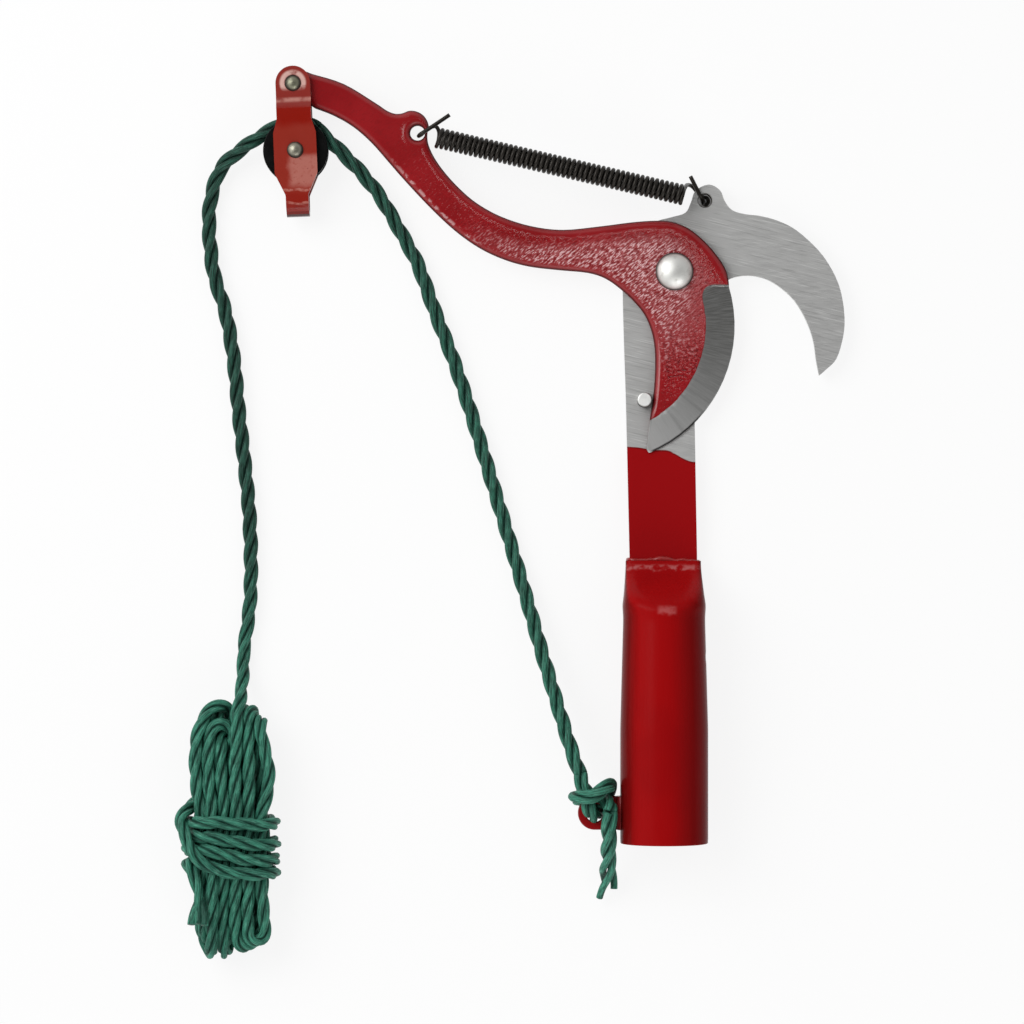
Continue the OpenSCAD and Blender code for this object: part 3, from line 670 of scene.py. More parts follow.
ROPE_FLOOR = FLOOR + ROPE_D / 2
LEVER_MID = -7.9
AXLE_DOWN = 24.9
AXLE = BLOCK_AT + AXLE_DOWN * np.array([math.sin(LEAN), -math.cos(LEAN)])
WRAP_R = 11.7


def on_wheel(degrees):
    a = math.radians(degrees)
    return (AXLE[0] + WRAP_R * math.cos(a), AXLE[1] + WRAP_R * math.sin(a), LEVER_MID)


# Level of the thicker, free lines on the floor
F = ROPE_FLOOR + 0.35
over_path = [on_wheel(a) for a in range(47, 125, 11)]
standing_path = [
    on_wheel(47), (-122.5, 258.5, -8.2), (-113.5, 249.5, -9.2), (-106, 240.5, -10.6),
    (-100.5, 231.5, -12.2), (-95.5, 222.5, -13.2), (-90.8, 213.5, F), (-84.5, 196, F), (-77.8, 178.5, F),
    (-71.8, 160.5, F), (-66.4, 143, F), (-61, 125, F), (-55.8, 107.5, -13.3), (-50.5, 89.5, -11.6),
    (-45.4, 71.5, -8.6), (-40.2, 54, -4.8), (-35, 37, -0.4), (-31, 25.5, 2.6)]
free_path = [
    on_wheel(124), (-147.5, 262.3, -8.1), (-154, 258, -8.9), (-160, 253.5, -10.2), (-164.5, 248.5, -11.6),
    (-167.3, 240.5, -12.9), (-168.5, 231.5, F), (-168.2, 222.5, F), (-166.5, 209.5, F), (-162.3, 196, F),
    (-159.3, 178.5, F), (-157.6, 160.5, F), (-155.6, 143, F), (-153.8, 125, F), (-153, 107.5, F),
    (-153.2, 89.5, F), (-155, 75, F), (-155.6, 71.5, F)]
knot_path = [
    (-31, 25.5, 2.6), (-30.2, 21.8, 3.4), (-29.2, 17.6, 4), (-27.8, 13.2, 4.6), (-26.3, 10.5, 2),
    (-25.2, 10.3, -3.6), (-22.8, 13.8, -5.8), (-20.8, 18.6, -4.4), (-20, 21.6, 0.6), (-21.2, 21.2, 6.4),
    (-24.6, 19, 9), (-28.6, 17.4, 8.8), (-31.8, 17.6, 4.8), (-31.8, 16.8, -0.4), (-28.4, 15.6, -1.8),
    (-24.8, 15.4, -0.6), (-21.6, 16.2, 1.6), (-20, 14.8, 5), (-20.3, 12, 6.6)]
tail_path = [(-20.3, 12, 6.6), (-20.4, 7, 5.6), (-20.5, 0, 1.6), (-20.5, -8, -5.6), (-20.6, -14.5, -11.4),
             (-20.8, -20.8, F)]

# The hank: eighteen runs in four layers, folded at both ends, then four turns round the waist.
# Each run, in the order in which the rope lies, has its layer and its place across the hank at the waist,
# above it, at its upper fold, below it and at its lower fold.

HANK_X = -160.0
LAYERS = (-8.6, -4.2, 0.2, 4.6)
RUNS = (
    (3, 2.1, 1.5, 3.5, 1.5, 0.5), (2, 9.6, 12.2, 8.5, 11, 10), (3, 11.2, 15.2, 10.5, 11.6, 12.8),
    (3, 6.4, 7.2, 6, 6, 5.5), (1, 7, 8.5, 7.5, 8, 7), (2, 4.6, 5.5, 4, 4, 3), (0, 4.6, 5.5, 5, 5, 5),
    (1, 2.3, 2.3, 2, 2.3, 3), (3, -9.8, -12.2, -10.5, -8.5, -8.5), (2, -4.6, -6, -5, -5, -6),
    (0, -4.6, -5, -4, -4.5, -4.5), (1, -7, -8, -6.5, -6.5, -5), (2, -9.3, -10.5, -8, -9, -7),
    (3, -6.2, -8.2, -7.5, -5.6, -6.5), (2, 0, 0, -1.2, 0, -1), (3, -2.1, -4, -4.8, -3, -3.5),
    (1, -2.3, -2.5, -2.8, -2, -2), (0, 0, 0, 0.5, 0, 0))
FOLDS = (-40, 48.5, -39, 50.5, -41.5, 51, -37.5, 52, -39, 50.5, -38, 49, -44.5, 47, -44, 42, -36)


def half_run(run, fold):
    """Points of a run from the waist to just short of its upper or lower fold."""
    level, waist, above, upper, below, lower = run
    z = LAYERS[level]
    if fold > 0:
        return [(waist, 0, z), (waist, 10, z), (above, 24, z - 0.4), (upper, fold - 6, z - 1.5)]
    return [(waist, 0, z), (waist, -9, z), (below, -20, z - 1.5), (lower, fold + 6, z - 3)]


hank_points = [(4.4, 71.5, F), (4.2, 62, -8.5), (4, 53, -0.5), (3.4, 44, 3.4), (1.8, 30, 4.6),
               (2.1, 10, 4.6)]
for i, fold in enumerate(FOLDS):
    down, up = half_run(RUNS[i], fold), half_run(RUNS[i + 1], fold)
    a, b = down[-1], up[-1]
    hank_points += down + [((a[0] + b[0]) / 2, fold, (a[2] + b[2]) / 2)] + up[:0:-1]


def side_turn(y0, y1, right):
    """Round one side of the waist, from y0 to y1."""
    x = 15.4 if right else -15.3
    z = (5.6, -2, -9.2) if right else (-9.2, -2, 5.6)
    return [(0.9 * x, y0, z[0]), (x, (y0 + y1) / 2, z[1]), (0.9 * x, y1, z[2])]


BACK = ROPE_FLOOR + 0.1
FRONT = 9.8
hank_points += [(0, -18, -8.6), (-0.8, -10, -10.4), (-4, -6.2, BACK), (-10, -5.3, BACK)]
for left, right in ((-1.6, -6.6), (3.4, -0.6), (8.6, 7)):
    hank_points += side_turn(left - 2, left, False)
    middle = 0.5 * (left + right)
    hank_points += [(-9, left - 0.2, FRONT - 0.3), (0, middle, FRONT), (9, right, FRONT - 0.3)]
    hank_points += side_turn(right, right + 1, True)
    hank_points += [(9.5, right + 1.4, BACK), (0, middle + 1.2, BACK), (-9.5, left + 2.4, BACK)]
hank_points[-1] = (-9, 14.2, BACK)
hank_points += [
    (-12.8, 15.4, -9), (-14.4, 13, -2), (-14.6, 7, 4.5), (-14.4, 1.5, 9.4), (-13.4, -3.9, 12.6),
    (-9.6, -7.8, 13.2), (-4, -10.1, 11), (4, -11, 9.8), (10, -10.9, 8)]
hank_points += side_turn(-10.9, -11.2, True)
hank_points += [(9.5, -11.4, BACK), (0, -11.6, BACK), (-9.5, -10.6, BACK)]
hank_points += [
    (-13, -9, -8.5), (-13.4, -7, -1.5), (-12.4, -7, 3.6), (-11, -10, 6.4), (-10.6, -14, 7.4),
    (-10.8, -21, 7.2), (-11.4, -29.8, 6.4)]


# How much of each fault of the rope one round of settling takes away
KINK, STRETCH, OVERLAP, FOLD = 0.1, 0.25, 0.35, 0.2


def settled(points, step, thick, rounds, sink=0.03, hold=(0.012, 0.012, 0.004), ends=False, soft=2.0,
            stiff=0.0):
    """A rope laid along points, pushed apart where it meets itself, and let down on the floor.

    stiff, where given, keeps its folds as wide as they would be at this share of the rope's thickness.
    """
    home = dense(smoothed(through(points, 6), soft), step)
    p = home.copy()
    n = len(p)
    rest = np.linalg.norm(np.diff(p, axis=0), axis=1)
    near = int(math.ceil(2.2 * thick / step))
    far = np.abs(np.subtract.outer(np.arange(n), np.arange(n))) > near
    for _ in range(rounds):
        p += np.array(hold) * (home - p)
        p[2:-2, 2] -= sink
        p[1:-1] += KINK * (0.5 * (p[2:] + p[:-2]) - p[1:-1])
        for _ in range(2):
            d = np.diff(p, axis=0)
            size = np.linalg.norm(d, axis=1)
            fix = (STRETCH * (size - rest) / size)[:, None] * d
            p[:-1] += fix
            p[1:] -= fix
        square = (p ** 2).sum(axis=1)
        gap2 = square[:, None] + square[None, :] - 2 * p @ p.T
        i, j = np.nonzero((gap2 < thick ** 2) & far)
        if len(i):
            d = p[i] - p[j]
            size = np.maximum(np.linalg.norm(d, axis=1), 0.05)
            push = (OVERLAP * (thick - size) / size)[:, None] * d
            count = np.maximum(np.bincount(i, minlength=n), 1)
            move = np.stack([np.bincount(i, push[:, c], n) for c in range(3)], axis=1)
            p += move / np.sqrt(count)[:, None]
        for k in range(2, near + 1 if stiff else 2):
            d = p[k:] - p[:-k]
            size = np.maximum(np.linalg.norm(d, axis=1), 0.05)
            chord = stiff * thick * math.sin(min(k * step / (stiff * thick), math.pi / 2))
            part = (FOLD * np.maximum(chord - size, 0.0) / size)[:, None] * d
            p[k:] += part
            p[:-k] -= part
        p[:, 2] = np.maximum(p[:, 2], ROPE_FLOOR)
        p[0] = home[0]
        if ends:
            p[:3] = home[:3]
            p[-3:] = home[-3:]
    return p


hank_line = settled(hank_points, 2.4, 4.75, 260, stiff=1.15) + (HANK_X, 0.0, 0.0)
main_route = np.concatenate([over_path[:-1], through(free_path, 6)[:-1], hank_line])
main_path = smoothed(main_route, 0.9)
standing_curve = smoothed(through(standing_path, 6), 1.5)
knot_curve = smoothed(settled(knot_path, 1.2, 4.6, 160, 0.0, (0.06, 0.06, 0.06), True, 0.9), 0.7)
tail_curve = smoothed(through(tail_path, 6), 1.0)

to_hank = length_of(np.array(over_path)) / MM + length_of(through(free_path, 6)) / MM
hank_from, hank_to = to_hank - 40.0, to_hank + 25.0
main_rope, main_line, _ = laid_rope(
    "rope_main", main_path, "pulley_block", ("rope_over_pulley", "rope_free_line", "hank_wrap", "rope_hank"),
    open_from=length_of(main_path) / MM - 19.0, cuts=(0.0, 0.5, 0.2), spread=0.6, fan=(0.97, -0.22, 0.1),
    dim=((hank_from, hank_to), (1.0, 0.0)),
    swell=((0.0, 16.0, 30.0, hank_from, hank_to), (1.0, 1.0, SLACK, SLACK, 1.0)))
standing_rope, standing_line, standing_end = laid_rope(
    "rope_standing", standing_curve, "frame", ("rope_standing_line",), 0.7,
    swell=((0.0, 12.0), (1.0, SLACK)), dim=((0, 150, 280), (1.0, 0.6, 0.2)))
# The block moves by pull when the lever closes, and the standing line shortens with it; here these numbers
# are only worked out, and the standing rope gets a mesh of its own.
pull = np.array([16.7, -165.8, 0.0])
anchor = np.array(knot_path[0])
pull_unit = pull / np.linalg.norm(pull)
reach = float((np.array(standing_path[0]) - anchor).dot(pull_unit))
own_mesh(standing_rope)

knot, _, _ = laid_rope("rope_knot_laid", knot_curve, "frame", ("rope_knot",), after=standing_end,
                       swell=((0.0, 8.0), (SLACK, 1.16)))
tail, _, _ = laid_rope("rope_tail_laid", tail_curve, "frame", ("rope_tail",), open_from=22.0, spread=1.3,
                       cuts=(0.0, 4.2, 3.4), swell=((0.0,), (1.22,)), aim=(-1.0, 0.0, 0.3))

tuple(main_line[0] * MM)
metres(main_line)
tuple(standing_line[0] * MM)
metres(standing_line)

# The return spring: the plate's hook and the curls in one wire, the lever's hook in another

SPAN = LEVER_EYE - PLATE_EYE
SPRING_U = SPAN / np.linalg.norm(SPAN)
SPRING_V = np.array([SPRING_U[1], -SPRING_U[0]])
COIL_R = (7.6 - 1.2) / 2
PLATE_LEAD = 8.8
LEVER_LEAD = 8.1
CURLS = 50
# The wire lies higher than the solid's, to clear the head of the closed lever.
SPRING_Z = -1.7
WIRE_R = 0.75
COIL_SET = -0.45
COIL_LEN = float(np.linalg.norm(SPAN)) - PLATE_LEAD - LEVER_LEAD


def on_coil(turn):
    a = math.pi + 2 * math.pi * turn
    side = COIL_R * math.cos(a) + COIL_SET
    p = PLATE_EYE + SPRING_U * (PLATE_LEAD + COIL_LEN * turn / CURLS) + SPRING_V * side
    return np.array([p[0], p[1], SPRING_Z + COIL_R * math.sin(a)])


over, under = -10.2 + 0.9, -14.2 - 0.9
PLATE_HOOK = (
    (-5.4, 8.9, over), (-2.2, 2.6, over), (-1.2, 1.1, -10.4), (-0.8, 0.2, -12.2), (-0.4, -0.9, -14.3),
    (0.6, -1.4, under), (1.5, -0.2, under), (1.0, 1.2, under), (-0.3, 1.6, under), (-1.8, 2.2, under),
    (-3.0, 3.8, under), (-4.7, 5.6, under + 0.6), (-6.4, 5.9, -12.2), (-7.2, 5.0, -7.0), (-8.0, 3.4, -1.6),
    (-8.6, 1.4, SPRING_Z + 2.4))
plate_hook = [np.array(q) + (*PLATE_EYE, 0) for q in PLATE_HOOK]
coil_start, coil_end = on_coil(0), on_coil(CURLS)
curls = [on_coil(i / 24) for i in range(CURLS * 24 + 1)]
lead_in = through(plate_hook + [coil_start + (0.1, 0.6, 2), coil_start + (0, 0, 1.2), curls[0]], 6)[:-1]
wire_off = 2.0 + 0.6 + 0.3
LEVER_HOOK = (
    (7.6, -3, -wire_off), (7.9, 0.5, -wire_off), (6.6, 2.7, -wire_off), (3.9, 1.8, -wire_off),
    (1.3, -0.4, 0.3 - wire_off), (0.4, -1.1, 0), (1.3, -0.5, wire_off - 0.3), (4, 1.2, wire_off),
    (11.9, 6.5, wire_off))
lever_hook = [np.array(q) + (*LEVER_EYE, LEVER_MID) for q in LEVER_HOOK]
lead_out = through([coil_end - (0, 0, 1.2), coil_end - (-0.1, -0.4, 2.4)] + lever_hook, 6)
spring_line = np.concatenate([lead_in, curls])
spring = mesh_object("spring_wire", *tube_parts(spring_line, WIRE_R, 10))
paint(spring, spring_black)
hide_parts("return_spring")
begin = PLATE_EYE + SPRING_U * PLATE_LEAD
finish = LEVER_EYE - SPRING_U * LEVER_LEAD
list(begin * MM)
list(finish * MM)
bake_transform(spring)
hook_wire = mesh_object("spring_hook_wire", *tube_parts(np.concatenate([[coil_end], lead_out]), WIRE_R, 10))
dress(hook_wire, spring_black, "spring_wire", "spring_end", "spring_hook")

# The lever: a plate with rounded edges, on the outline that its solid has


def ring(loop, step):
    """A closed loop of points, about step millimetres apart."""
    return dense([(q[0], q[1], 0.0) for q in list(loop) + [loop[0]]], step)[:-1, :2]


def inside(points, loops):
    """Which points lie within the first loop and outside the others."""
    odd = np.zeros(len(points), bool)
    for loop in loops:
        for (x0, y0), (x1, y1) in zip(loop, np.roll(loop, -1, axis=0)):
            hit = (y0 > points[:, 1]) != (y1 > points[:, 1])
            odd ^= hit & (points[:, 0] < (x1 - x0) * (points[:, 1] - y0) / (y1 - y0 + 1e-12) + x0)
    return odd


def inset_of(points, loops, ends=0):
    """Distance of each point to the nearest edge of the loops; ends leaves out the edge that closes them."""
    best = np.full(len(points), 1e9)
    for loop in loops:
        d = (np.roll(loop, -1, axis=0) - loop)[:len(loop) - ends]
        a = loop[:len(d)]
        size = (d ** 2).sum(axis=1)
        for i in range(len(a)):
            t = np.clip(((points - a[i]) @ d[i]) / size[i], 0, 1)
            best = np.minimum(best, np.linalg.norm(points - a[i] - t[:, None] * d[i], axis=1))
    return best


def plate(name, outline, holes, back, edge, cell, front_of, extra):
    """A plate up from the level back, with its front edge rounded by edge and its front laid by front_of.

    cell is the size of its triangles, and extra has more points for them.
    """
    loops = [ring(outline, 0.8)] + [ring(hole, 0.5) for hole in holes]
    points, links = [], []
    for loop in loops:
        n = len(points)
        points += [tuple(q) for q in loop]
        links += [(n + i, n + (i + 1) % len(loop)) for i in range(len(loop))]
    inner = []
    for loop in loops:
        d = np.roll(loop, -1, axis=0) - np.roll(loop, 1, axis=0)
        across = np.stack([-d[:, 1], d[:, 0]], axis=1) / np.linalg.norm(d, axis=1)[:, None]
        for share in (0.12, 0.3, 0.6, 1.0):
            for side in (1, -1):
                inner.append((loop + side * share * edge * across, share * edge * 0.93))
    lo, hi = loops[0].min(axis=0), loops[0].max(axis=0)
    rows = enumerate(np.arange(lo[1], hi[1], cell * 0.87))
    grid = np.array([(x + (0.5 * cell if j % 2 else 0.0), y) for j, y in rows
                     for x in np.arange(lo[0], hi[0], cell)])
    inner.append((grid, edge + 0.45 * cell))
    for more in extra:
        inner.append((np.array(more), 0.12))
    for some, least in inner:
        some = some[inside(some, loops)]
        points += [tuple(q) for q in some[inset_of(some, loops) >= least]]
    made = geometry.delaunay_2d_cdt([Vector(q) for q in points], links, [], 0, 1e-5)
    flat = np.array([tuple(q) for q in made[0]])
    triangles = np.array(list(made[2]))
    triangles = triangles[inside(flat[triangles].mean(axis=1), loops)]
    depth = inset_of(flat, loops)
    round_off = edge - np.sqrt(np.maximum(edge ** 2 - (edge - np.minimum(depth, edge)) ** 2, 0))
    top, ground = front_of(flat, round_off)
    under = min(0.25, edge)
    low = back + under - np.sqrt(np.maximum(under ** 2 - (under - np.minimum(depth, under)) ** 2, 0))
    n = len(flat)
    low = np.minimum(low, top - 0.1)
    vertices = np.concatenate([np.column_stack([flat, top]), np.column_stack([flat, low])])
    faces = [tuple(f) for f in triangles] + [(c + n, b + n, a + n) for a, b, c in triangles]
    seen = dict.fromkeys(e for a, b, c in triangles for e in ((a, b), (b, c), (c, a)))
    faces += [(b, a, a + n, b + n) for a, b in seen if (b, a) not in seen]
    obj = mesh_object(name, vertices, faces)
    keep(obj, "inset", np.tile(depth, 2))
    keep(obj, "ground", np.concatenate([ground, np.full(n, -9.0)]))
    return obj


def turned(centre, r, start, end, steps):
    """Points round a centre, from one angle to another."""
    angles = [math.radians(start + (end - start) * k / steps) for k in range(steps + 1)]
    return [(centre[0] + r * math.cos(a), centre[1] + r * math.sin(a)) for a in angles]


def moved(points):
    return [(q[0] + PIVOT[0], q[1] + PIVOT[1]) for q in points]


def flat_curve(points, steps=4):
    return [tuple(q) for q in through([(a, b, 0.0) for a, b in points], steps)[:, :2]]


LEVER_TOP = [
    (-134, 73.2), (-122.3, 69.5), (-110.5, 62.4), (-106.5, 59.7), (-103.5, 58.5), (-100.8, 58.6),
    (-98, 59.6), (-95, 59.2), (-92.4, 57.4), (-90.9, 54.2), (-91.4, 50.8), (-91, 47.2), (-89, 42.6),
    (-85.3, 37.2), (-80, 31.3), (-73.4, 25.6), (-64.5, 20.6), (-53.5, 17), (-41.5, 15.5), (-27.5, 16.8),
    (-15.7, 18.3), (-7.2, 18.9), (-0.9, 18.5), (5.8, 15.7), (12, 10.4), (16.5, 5), (19.2, 0.4), (20, -3.2)]
LEVER_LOW = [
    (-10.3, -65.5), (-9.2, -56), (-7.7, -45.3), (-7.1, -36.5), (-7.2, -29), (-8.3, -22.4), (-10.9, -16.1),
    (-15, -10.9), (-19.4, -6.8), (-25.3, -2.6), (-32, -0.4), (-42.4, 0.6), (-53.5, 1.9), (-62.7, 4.4),
    (-72, 8.7), (-81.2, 15.2), (-90.5, 23.9), (-99.7, 33.7), (-106, 40.9), (-112, 47.7), (-118.6, 53.5),
    (-126, 57.8), (-133, 60.5)]
BEVEL_W = 11.0
BEVEL_DROP = 3.6
LEVER_FRONT = -5.9
LEVER_BACK = -9.9
SHOULDER = -4.7
lever_outline = moved(flat_curve(LEVER_TOP) + turned(EDGE_AT, EDGE_R, 17, -68, 17) + flat_curve(LEVER_LOW)
                      + turned((-141, 69.5), 6.0, -60, -290, 12))
HOLES = (((0, 0), 4.05), ((-95, 51.3), 2.75), ((-141, 69.5), 2.05))
lever_holes = [moved(turned(c, r, 0, 360, 40)[:-1]) for c, r in HOLES]


def ground_inset(flat):
    """How far a point lies inside the ground bevel, whose inner corner is rounded."""
    q = flat - PIVOT - EDGE_AT
    a = np.hypot(q[:, 0], q[:, 1]) - (EDGE_R - BEVEL_W)
    b = SHOULDER - (flat[:, 1] - PIVOT[1])
    r = 6.0
    corner = r - np.hypot(np.maximum(r - a, 0), np.maximum(r - b, 0))
    return np.where((a < r) & (b < r), corner, np.minimum(a, b)), a


def ground_front(flat, round_off):
    """The lever's front: rounded at its edges, less so by the bevel, and ground down to the cutting edge."""
    ground, a = ground_inset(flat)
    top = LEVER_FRONT - round_off * np.clip(-ground / 3.0, 0, 1)
    level = LEVER_FRONT - np.clip(a, 0, BEVEL_W) * BEVEL_DROP / BEVEL_W
    share = np.clip(ground / 0.4, 0, 1)
    return top * (1 - share) + level * share, ground


BEVEL_ROWS = (39.75, 40.05, 40.3, 42.0, 44.0, 46.0, 48.0, 49.5, 50.3)
bevel_line = moved([q for r in BEVEL_ROWS for q in turned(EDGE_AT, r, 22, -68, 90)])
shoulder_line = [(PIVOT[0] + x, PIVOT[1] + SHOULDER + d) for d in (-0.5, -0.2, 0.05, 0.3)
                 for x in np.arange(9, 22, 0.5)]
lever = plate("lever_forging", lever_outline, lever_holes, LEVER_BACK, 2.3, 1.6, ground_front,
              (bevel_line, shoulder_line))
flat = np.array([v.co[:2] for v in lever.data.vertices]) / MM
for key, line in (("crown", LEVER_TOP), ("belly", LEVER_LOW)):
    keep(lever, key, inset_of(flat, [np.array(moved(flat_curve(line, 2)))], 1))
dress(lever, lever_red, "red_enamel", "lever", "cutting_lever")

# The socket: the solid's rings, closer together and with softer shoulders

SOCKET_R = 16.2
WALL = 2.0
SOCKET_LEN = 104.0
SHOULDER_Y = 86.0


def socket_sizes():
    """Width, front and squareness of the socket along its length, each with its corners smoothed."""
    y = np.arange(0.0, SOCKET_LEN + 0.01, 0.5)
    t = np.clip((y - SHOULDER_Y) / (SOCKET_LEN - SHOULDER_Y), 0, 1)
    s = t * t * (3 - 2 * t)
    rise = np.clip((y - 42.0) / (SHOULDER_Y - 42.0), 0, 1)
    wide = 2 * SOCKET_R - 2.4 * rise - 2.2 * s
    front = SOCKET_R - 2.0 * rise - 22.4 * s
    power = 2.0 + 6.0 * t
    kernel = np.exp(-0.5 * (np.arange(-9, 10) * 0.5 / 1.5) ** 2)
    kernel /= kernel.sum()
    out = [np.convolve(np.pad(v, 9, "edge"), kernel, "valid") for v in (wide, front, power)]
    out[0] = out[0] + 0.7 * np.exp(-0.5 * ((y - 87.5) / 2.2) ** 2)
    out[1] = out[1] + 0.35 * np.exp(-0.5 * ((y - 86.0) / 1.6) ** 2)
    return y, out


def socket_ring(y, wide, front, power, wall, sides=96):
    """One closed ring of the socket, in even steps from the middle of its back."""
    a = np.radians(np.linspace(-90.0, 270.0, 1441))
    back, top = FLOOR + wall, front - wall
    x = (wide / 2 - wall) * np.sign(np.cos(a)) * np.abs(np.cos(a)) ** (2 / power)
    z = (top + back) / 2 + (top - back) / 2 * np.sign(np.sin(a)) * np.abs(np.sin(a)) ** (2 / power)
    s = np.concatenate([[0.0], np.cumsum(np.hypot(np.diff(x), np.diff(z)))])
    at = s[-1] * np.arange(sides) / sides
    return np.stack([np.interp(at, s, x), np.full(sides, y), np.interp(at, s, z)], axis=1)


def carved(obj, cutters):
    """The object with closed solids cut out of it."""
    for name, vertices, faces in cutters:
        tool = mesh_object(name, vertices, faces, smooth=False)
        cut = obj.modifiers.new(name, "BOOLEAN")
        cut.operation, cut.solver, cut.object = "DIFFERENCE", "EXACT", tool
        bpy.context.view_layer.update()
        whole = bpy.data.meshes.new_from_object(obj.evaluated_get(bpy.context.evaluated_depsgraph_get()))
        obj.modifiers.clear()
        old, obj.data = obj.data, whole
        bpy.data.meshes.remove(old)
        rest = tool.data
        bpy.data.objects.remove(tool)
        bpy.data.meshes.remove(rest)


along, (wide, front, power) = socket_sizes()
# The mouth's rounded rim, then the outside up to the neck and the bore back down
RIM = ((0.0, 0.6), (0.08, 0.28), (0.28, 0.08))
shell = [socket_ring(y, 2 * SOCKET_R, SOCKET_R, 2.0, wall) for y, wall in RIM]
rows = list(zip(along, wide, front, power))
shell += [socket_ring(*row, 0.0) for row in rows if row[0] > 0.4 and (row[0] > 78 or row[0] % 2 == 0)]
shell += [socket_ring(*row, WALL) for row in rows[::-1] if row[0] > 78 or row[0] % 4 == 0]
rings, sides = len(shell), len(shell[0])
faces = []
for i in range(rings):
    low, high = i * sides, (i + 1) % rings * sides
    for k in range(sides):
        j = (k + 1) % sides
        faces.append((high + k, high + j, low + j, low + k))
socket = mesh_object("socket_shell", np.concatenate(shell), faces)
BOX = [(0, 1, 3, 2), (4, 6, 7, 5), (0, 4, 5, 1), (2, 3, 7, 6), (0, 2, 6, 4), (1, 5, 7, 3)]
slit = [(x, y, z) for x in (-0.5, 0.5) for y in (-1.0, SHOULDER_Y) for z in (FLOOR - 1.0, FLOOR + 3.0)]
circle = turned((68.5, 0.0), 2.2, 0, 345, 23)
drill = [(x, y, z) for x in (8.0, 20.0) for y, z in circle]
drill_faces = [(k, (k + 1) % 24, 24 + (k + 1) % 24, 24 + k) for k in range(24)]
drill_faces += [tuple(range(23, -1, -1)), tuple(range(24, 48))]
carved(socket, [("slit", slit, BOX), ("drill", drill, drill_faces)])
socket.data.set_sharp_from_angle(angle=math.radians(40))
dress(socket, socket_red, "red_enamel", "frame", "socket")

# The weld across the shank: a lumpy bead that ends in a lump at each side

rng = np.random.default_rng(5)
bead_path = dense([(-12.9, 104.0, -13.4), (-12.7, 104.3, -11.2), (-11.4, 104.2, -9.9), (0.0, 104.5, -9.7),
                   (11.4, 103.6, -9.7), (12.8, 103.6, -11.2), (13.0, 103.4, -13.4)], 0.3)
bead_path = smoothed(bead_path, 0.6, 0.3)
rough = np.convolve(rng.normal(size=len(bead_path) + 22), np.hanning(23) / 7.0, "valid")
wander = np.convolve(rng.normal(size=len(bead_path) + 16), np.hanning(17) / 8.0, "valid")
bead_path[:, 1] += 0.55 * wander
girth = np.clip(0.95 + 0.26 * rough, 0.65, 1.4)
bead = mesh_object("weld_bead", *tube_parts(bead_path, girth, 14))
dress(bead, weld_red, "red_enamel", "frame", "socket_weld")

# The solids' own finishes: each node has its material and the width of its softened edges

FINISH = {
    "hook_plate": (plate_steel, 0.0), "pulley_strap": (strap_red, 0.45), "rope_lug": (lug_red, 0.6),
    "lug_weld": (weld_red, 0.4), "pivot_rivet": (dome_steel, 0.2), "stop_pin": (stop_steel, 0.3),
    "pulley_wheel": (wheel_black, 0.3), "pivot_washer": (rivet_dark, 0.15),
    "block_rivet": (block_dark, 0.15), "pulley_axle": (axle_dark, 0.15), "wheel_bush": (bush_brass, 0.1)}
for name, (made, edge) in FINISH.items():
    obj = nodes[name]
    paint(obj, made)
    weld = obj.modifiers.new("weld", "WELD")
    weld.merge_threshold = 0.000002
    if not edge:
        continue
    soft = obj.modifiers.new("soft", "BEVEL")
    soft.width = edge * MM
    soft.segments = 3
    soft.limit_method = "ANGLE"
    soft.angle_limit = math.radians(38)

# Floor, light and camera: the floor shines for camera, glossy and transmission rays, so it is white
# without more light on the object

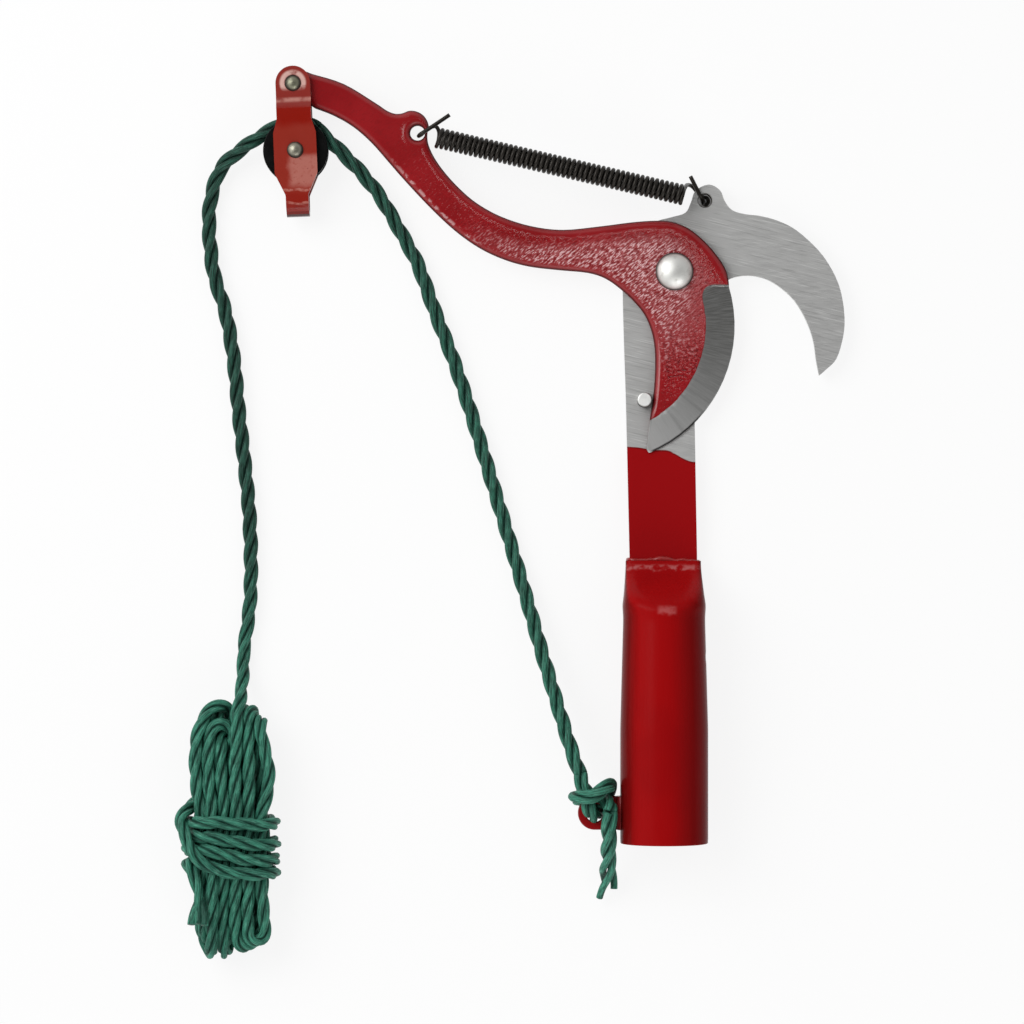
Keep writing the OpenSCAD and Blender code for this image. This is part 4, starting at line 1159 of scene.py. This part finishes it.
MIDDLE = (-0.056, 0.122, 0.0)
floor_mesh = bpy.data.meshes.new("floor")
build = bmesh.new()
bmesh.ops.create_grid(build, x_segments=8, y_segments=8, size=10.0)
build.to_mesh(floor_mesh)
build.free()
floor = bpy.data.objects.new("floor", floor_mesh)
floor.location = (*MIDDLE[:2], FLOOR * MM)
scene.collection.objects.link(floor)
pale, shader, _ = new_material("floor_pale")
shader["Base Color"] = (0.86, 0.86, 0.86)
shader["Roughness"] = 0.9
shader["Specular IOR Level"] = 0.1
glow = node("ShaderNodeEmission", {"Color": (1, 1, 1), "Strength": 1.0})
light_path = node("ShaderNodeLightPath")
seen = larger(light_path["Is Camera Ray"],
              larger(light_path["Is Glossy Ray"], light_path["Is Transmission Ray"]))
under_eye = distance(node("ShaderNodeNewGeometry")["Position"], (*PLATE_EYE * MM, FLOOR * MM))
share = seen * 0.86 * ramp(under_eye, 0.0038, 0.0045)
surface(blended(share, shader, glow))
floor_mesh.materials.append(pale)

world = bpy.data.worlds.new("studio")
scene.world = world
opened(world)
sky = Step(graph.nodes["Background"])
where = node("ShaderNodeTexCoord")["Generated"]
across, _, up = axes_of(where)
band = ramp(up, 0.97, 0.6) * (0.3 + ramp(up, 0.0, 0.4) * 0.7)
side = scaled(across, 1.0, 0.5, -0.8, 0.8)
level = 0.08 + band * side * 0.95
sky["Color"] = mixed(level, (0.0, 0.0, 0.0), (1.0, 1.0, 1.0))
sky["Strength"] = 1.0


def softbox(name, place, aim, size, watts):
    data = bpy.data.lights.new(name, "AREA")
    data.shape = "RECTANGLE"
    data.size, data.size_y = size
    data.energy = watts
    lamp = bpy.data.objects.new(name, data)
    lamp.location = place
    lamp.rotation_euler = (Vector(aim) - Vector(place)).to_track_quat("-Z", "Y").to_euler()
    scene.collection.objects.link(lamp)


softbox("key", (-0.80, 0.60, 0.85), MIDDLE, (0.9, 0.9), 9.8)
softbox("fill", (0.30, -0.95, 0.60), MIDDLE, (1.0, 0.6), 4.5)
softbox("glint", (0.045, 0.335, 1.0), (0.0, 0.22, 0.0), (0.09, 0.09), 0.15)

# The picture is VIEW_WIDTH metres wide at the level of the lever, VIEW_FROM metres below the camera.
SENSOR = 36.0
VIEW_FROM = 1.8
VIEW_WIDTH = 0.37888
view = bpy.data.cameras.new("camera")
view.sensor_width = SENSOR
view.lens = SENSOR * VIEW_FROM / VIEW_WIDTH
view.clip_start, view.clip_end = 0.01, 20.0
camera = bpy.data.objects.new("camera", view)
camera.location = (-0.05606, 0.1221, VIEW_FROM - 0.008)
camera.rotation_euler = (0.0, 0.0, 0.0)
scene.collection.objects.link(camera)
scene.camera = camera
